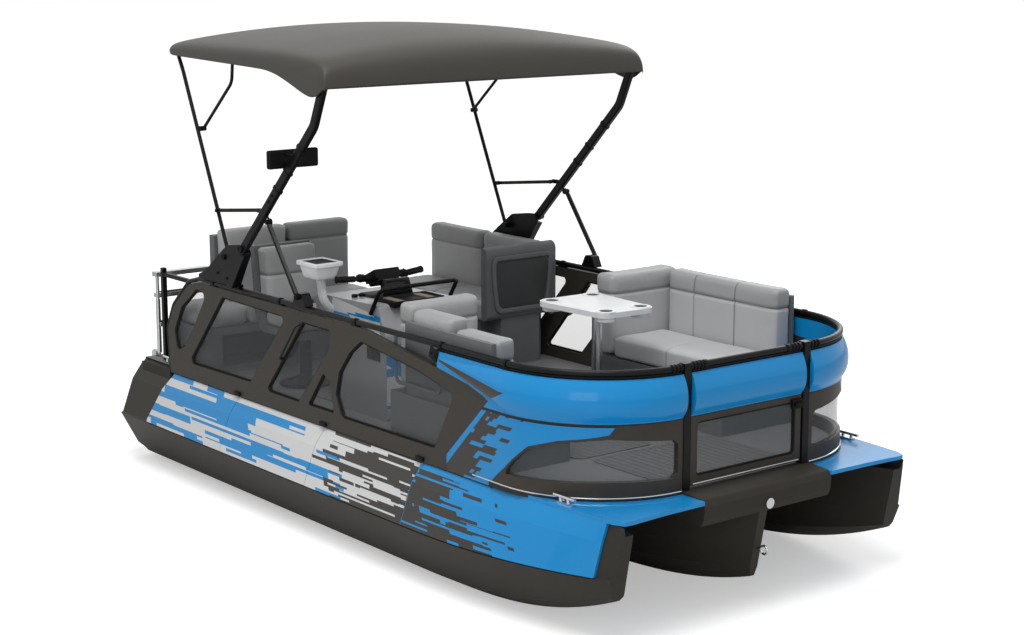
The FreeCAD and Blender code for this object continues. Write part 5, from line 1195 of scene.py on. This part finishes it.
class BOAT_OT_shell_details(bpy.types.Operator):
    """Makes the companion seat's end rim and well, the bench's board rims and the table's cup bosses"""
    bl_idname = "boat.shell_details"
    bl_label = "Shell details"

    def execute(self, context):
        rim = self.frame_ring(-0.6405, COMPANION_RIM, 0.030, 0.016, "x")
        settle(rim, "companion_rim", "hull", "seat shell")
        well = self.frame_ring(-0.6400, COMPANION_WELL, None, 0.0025, "x")
        settle(well, "companion_well", "hull", "dark shell")
        rims = []
        for x0, x1, z0, z1 in BENCH_BOARDS:
            outline = [(x0, z0), (x1, z0), (x1, z1), (x0, z1)]
            rims.append(self.frame_ring(-1.0505, outline, 0.022, -0.010, "y"))
        settle(gather(rims), "bench_rims", "hull", "seat shell")
        bosses = []
        for x, y in CUP_PLACES:
            boss = add_round((x, y, 1.3625), UP, 0.0600, 0.0055, 40)
            pick(boss, facing(UP))
            bpy.ops.mesh.inset(thickness=0.0215)
            bpy.ops.mesh.delete(type="FACE")
            bpy.ops.object.mode_set(mode="OBJECT")
            pick(boss, facing((0, 0, -1)))
            bpy.ops.mesh.delete(type="FACE")
            bpy.ops.object.mode_set(mode="OBJECT")
            wall = boss.modifiers.new("Wall", "SOLIDIFY")
            wall.thickness = 0.003
            apply_all(boss)
            round_edges(boss, 0.001, 1)
            cup = add_round((x, y, 1.3345), (0, 0, -1), 0.0560, 0.0280, 40)
            round_edges(cup, 0.006, 3)
            bosses += [boss, cup]
        settle(gather(bosses), "table_bosses", "hull", "table top")
        return {"FINISHED"}

    def frame_ring(self, at, outline, width, proud, axis):
        """A moulded ring or, with no width, a plate that follows an outline and stands proud of a face."""
        bpy.ops.object.select_all(action="DESELECT")
        bpy.ops.mesh.primitive_circle_add(vertices=len(outline), radius=1, fill_type="NGON")
        obj = bpy.context.object
        for vertex, (a, b) in zip(obj.data.vertices, outline):
            vertex.co = (at, a, b) if axis == "x" else (a, at, b)
        only(obj)
        bpy.ops.object.mode_set(mode="EDIT")
        bpy.ops.mesh.select_all(action="SELECT")
        bpy.ops.mesh.bevel(offset=0.045, segments=5, affect="VERTICES")
        bpy.ops.mesh.select_mode(type="FACE")
        bpy.ops.mesh.select_all(action="SELECT")
        if width:
            bpy.ops.mesh.inset(thickness=width)
            bpy.ops.mesh.delete(type="FACE")
            bpy.ops.mesh.select_all(action="SELECT")
        step = (proud, 0, 0) if axis == "x" else (0, proud, 0)
        bpy.ops.mesh.extrude_region_move(TRANSFORM_OT_translate={"value": step})
        bpy.ops.mesh.select_all(action="SELECT")
        bpy.ops.mesh.normals_make_consistent(inside=False)
        bpy.ops.object.mode_set(mode="OBJECT")
        round_edges(obj, min(0.005, abs(proud) * 0.4), 3)
        return obj


class BOAT_OT_seat_details(bpy.types.Operator):
    """Makes the pulls and storage doors of the seat bases"""
    bl_idname = "boat.seat_details"
    bl_label = "Seat base details"

    def execute(self, context):
        made = []
        for x0, x1, y, side in ((0.99, 1.11, 0.450, -1), (0.92, 1.04, -0.510, 1), (-1.30, -1.18, 0.480, -1)):
            pull = add_block(x0, x1, min(y, y + side * 0.008), max(y, y + side * 0.008), 0.915, 0.945)
            sink(pull, facing((0, side, 0)), 0.006, 0.005)
            round_edges(pull, 0.002)
            made.append(pull)
        settle(gather(made), "seat_pulls", "hull", "black plastic")
        doors = []
        for x0, x1, y, side in ((-1.66, -0.84, 0.480, -1), (0.70, 1.44, 0.450, -1), (0.70, 1.32, -0.510, 1)):
            door = add_block(x0, x1, min(y, y + side * 0.003), max(y, y + side * 0.003), 0.715, 0.895)
            sink(door, facing((0, side, 0)), 0.020, 0.0015)
            round_edges(door, 0.001, 1)
            doors.append(door)
        settle(gather(doors), "seat_doors", "hull", "seat shell")
        return {"FINISHED"}


LINER_Z = 1.3415
TREADS_Z = (0.907, 1.105)


class BOAT_OT_small_fittings(bpy.types.Operator):
    """Makes the cup liners, mirror glass, gate latch and ladder treads"""
    bl_idname = "boat.small_fittings"
    bl_label = "Small fittings"

    def execute(self, context):
        liner = add_round((*CUP_PLACES[0], LINER_Z), UP, 0.0374, 0.022, 32)
        sink(liner, facing(UP), 0.0022, 0.018)
        round_edges(liner, 0.001, 1)
        liners = spread(liner, [(*spot, LINER_Z) for spot in CUP_PLACES])
        settle(gather(liners), "cup_liners", "hull", "seat shell")
        glass = add_block(-0.4605, -0.4565, -1.236, -0.928, 2.130, 2.214)
        sink(glass, facing((-1, 0, 0)), 0.004, 0.0008)
        round_edges(glass, 0.001, 1)
        settle(glass, "mirror_glass", "arch", "mirror silver")
        latch = add_block(2.195, 2.214, 0.318, 0.392, 0.985, 1.035)
        sink(latch, facing((1, 0, 0)), 0.008, 0.003)
        round_edges(latch, 0.004, 3)
        lever = soft_block(2.212, 2.226, 0.330, 0.380, 1.000, 1.016, 0.004, 3)
        settle(gather([latch, lever]), "gate_latch", "gate", "black plastic")
        treads = []
        for z in TREADS_Z:
            tread = add_block(-2.343, -2.297, -0.965, -0.645, z, z + 0.004)
            sink(tread, facing(UP), 0.004, 0.001)
            round_edges(tread, 0.0015, 1)
            rib = soft_block(-2.340, -2.300, -0.955, -0.949, z + 0.003, z + 0.0055, 0.001, 1)
            treads += [tread] + spread(rib, [(0, 0.020 * k, 0) for k in range(16)])
        settle(gather(treads), "ladder_treads", "ladder", "rubber")
        return {"FINISHED"}


FRONT_X = 0.060
FRONT_DROP = 0.035
FRONT_TOP = 2.60
CLOTH_THICK = 0.003


class BOAT_OT_canopy(bpy.types.Operator):
    """Makes the canopy as one stretched sheet with a short drop at its front"""
    bl_idname = "boat.canopy"
    bl_label = "Canopy"

    def execute(self, context):
        rings = [canopy_ring(*row) for row in CANOPY]
        rings.append([(FRONT_X, y, min(z - FRONT_DROP, FRONT_TOP)) for x, y, z in rings[-1]])
        wide = len(rings[0])
        verts = [p for ring in rings for p in ring]
        faces = []
        for i in range(len(rings) - 1):
            for k in range(wide - 1):
                a = i * wide + k
                faces.append((a, a + wide, a + wide + 1, a + 1))
        mesh = bpy.data.meshes.new("canopy_sheet")
        mesh.from_pydata(verts, [], faces)
        obj = bpy.data.objects.new("canopy_sheet", mesh)
        context.scene.collection.objects.link(obj)
        only(obj)
        bpy.ops.object.mode_set(mode="EDIT")
        bpy.ops.mesh.select_all(action="SELECT")
        bpy.ops.mesh.normals_make_consistent(inside=False)
        bpy.ops.object.mode_set(mode="OBJECT")
        smooth = obj.modifiers.new("Smooth", "SUBSURF")
        smooth.levels = 3
        smooth.render_levels = 3
        thick = obj.modifiers.new("Cloth", "SOLIDIFY")
        thick.thickness = CLOTH_THICK
        thick.offset = -1
        apply_all(obj)
        for poly in obj.data.polygons:
            poly.use_smooth = True
        obj.data.materials.append(FINISH["canopy cloth"])
        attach(obj, "arch")
        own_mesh(obj)
        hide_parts("canopy")
        return {"FINISHED"}


class BOAT_OT_stage(bpy.types.Operator):
    """Makes the pale floor, the soft lights and the camera"""
    bl_idname = "boat.stage"
    bl_label = "Stage"

    def execute(self, context):
        scene = context.scene
        scene.view_settings.view_transform = "Standard"
        bpy.ops.object.select_all(action="DESELECT")
        bpy.ops.mesh.primitive_plane_add(size=160, location=(0, 0, -0.002))
        floor = context.object
        floor.name = "studio_floor"
        m = new_material("studio floor")
        away = add(m, "ShaderNodeVectorMath", {"operation": "LENGTH"}, Vector=place(m)).outputs["Value"]
        fill = add(m, "ShaderNodeMapRange", Value=away, From_Min=2.0, From_Max=9.0, To_Min=0.42,
                   To_Max=0.62).outputs[0]
        lift = math_node(m, "MULTIPLY", add(m, "ShaderNodeLightPath").outputs["Is Camera Ray"], fill)
        finish(m, add(m, "ShaderNodeBsdfPrincipled", Base_Color=colour("#f6f6f6"), Roughness=0.9,
                      Emission_Color=(1, 1, 1, 1), Emission_Strength=lift))
        floor.data.materials.append(m)
        world = bpy.data.worlds.new("studio")
        scene.world = world
        world.use_nodes = True
        world.node_tree.nodes.clear()
        out = world.node_tree.nodes.new("ShaderNodeOutputWorld")
        rays = add(world, "ShaderNodeLightPath")
        seen = math_node(world, "MAXIMUM", rays.outputs["Is Camera Ray"], rays.outputs["Is Transmission Ray"])
        seen = math_node(world, "MAXIMUM", seen, rays.outputs["Is Glossy Ray"])
        level = add(world, "ShaderNodeMapRange", Value=seen, To_Min=0.42, To_Max=1.0)
        sky = add(world, "ShaderNodeBackground", Color=(1, 1, 1, 1), Strength=level.outputs[0])
        world.node_tree.links.new(sky.outputs[0], out.inputs["Surface"])
        for name, at, aim, size, power in (("key", (2.5, -3.0, 9.0), (0, 0, 0.8), 5.0, 520),
                                           ("side", (7.0, -8.0, 3.0), (0.5, 0, 0.8), 4.0, 90),
                                           ("rim", (-3.0, 8.0, 6.0), (0, 0, 1.2), 5.0, 240)):
            data = bpy.data.lights.new(name, "AREA")
            data.size = size
            data.energy = power
            lamp = bpy.data.objects.new(name, data)
            scene.collection.objects.link(lamp)
            lamp.location = at
            lamp.rotation_euler = (Vector(aim) - Vector(at)).to_track_quat("-Z", "Y").to_euler()
        data = bpy.data.cameras.new("camera")
        data.lens = 68.3
        data.sensor_width = 36.0
        camera = bpy.data.objects.new("camera", data)
        scene.collection.objects.link(camera)
        camera.location = (9.1, -6.98, 3.43)
        camera.rotation_euler = (math.radians(90 - 11.125), 0, math.radians(51.8))
        scene.camera = camera
        return {"FINISHED"}


class BOAT_PT_panel(bpy.types.Panel):
    """Lists the boat's pieces and settings."""
    bl_idname = "BOAT_PT_panel"
    bl_label = "Pontoon boat"
    bl_space_type = "VIEW_3D"
    bl_region_type = "UI"
    bl_category = "Boat"

    def draw(self, context):
        for group in (colours(), sizes()):
            for key in group.bl_rna.properties.keys():
                if key not in ("rna_type", "name"):
                    self.layout.prop(group, key)
        for operator in OPERATORS:
            self.layout.operator(operator.bl_idname)


OPERATORS = [BOAT_OT_finishes, BOAT_OT_pads, BOAT_OT_gaskets, BOAT_OT_rail_clamps, BOAT_OT_band_trim,
             BOAT_OT_bimini_hardware, BOAT_OT_deck_mats, BOAT_OT_helm_details, BOAT_OT_shell_details,
             BOAT_OT_seat_details, BOAT_OT_small_fittings, BOAT_OT_canopy, BOAT_OT_stage]
CLASSES = [BoatColours, BoatSizes] + OPERATORS + [BOAT_PT_panel]


def register():
    """Makes the classes and settings known to Blender."""
    for cls in CLASSES:
        bpy.utils.register_class(cls)
    bpy.types.Scene.boat_colours = bpy.props.PointerProperty(type=BoatColours)
    bpy.types.Scene.boat_sizes = bpy.props.PointerProperty(type=BoatSizes)


def unregister():
    """Takes the classes and settings away again."""
    del bpy.types.Scene.boat_colours
    del bpy.types.Scene.boat_sizes
    for cls in reversed(CLASSES):
        bpy.utils.unregister_class(cls)


def main():
    """Makes the whole scene in order."""
    register()
    bpy.ops.boat.finishes()
    bpy.ops.boat.pads()
    bpy.ops.boat.gaskets()
    bpy.ops.boat.rail_clamps()
    bpy.ops.boat.band_trim()
    bpy.ops.boat.bimini_hardware()
    bpy.ops.boat.deck_mats()
    bpy.ops.boat.helm_details()
    bpy.ops.boat.shell_details()
    bpy.ops.boat.seat_details()
    bpy.ops.boat.small_fittings()
    bpy.ops.boat.canopy()
    bpy.ops.boat.stage()


if __name__ == "__main__":
    main()
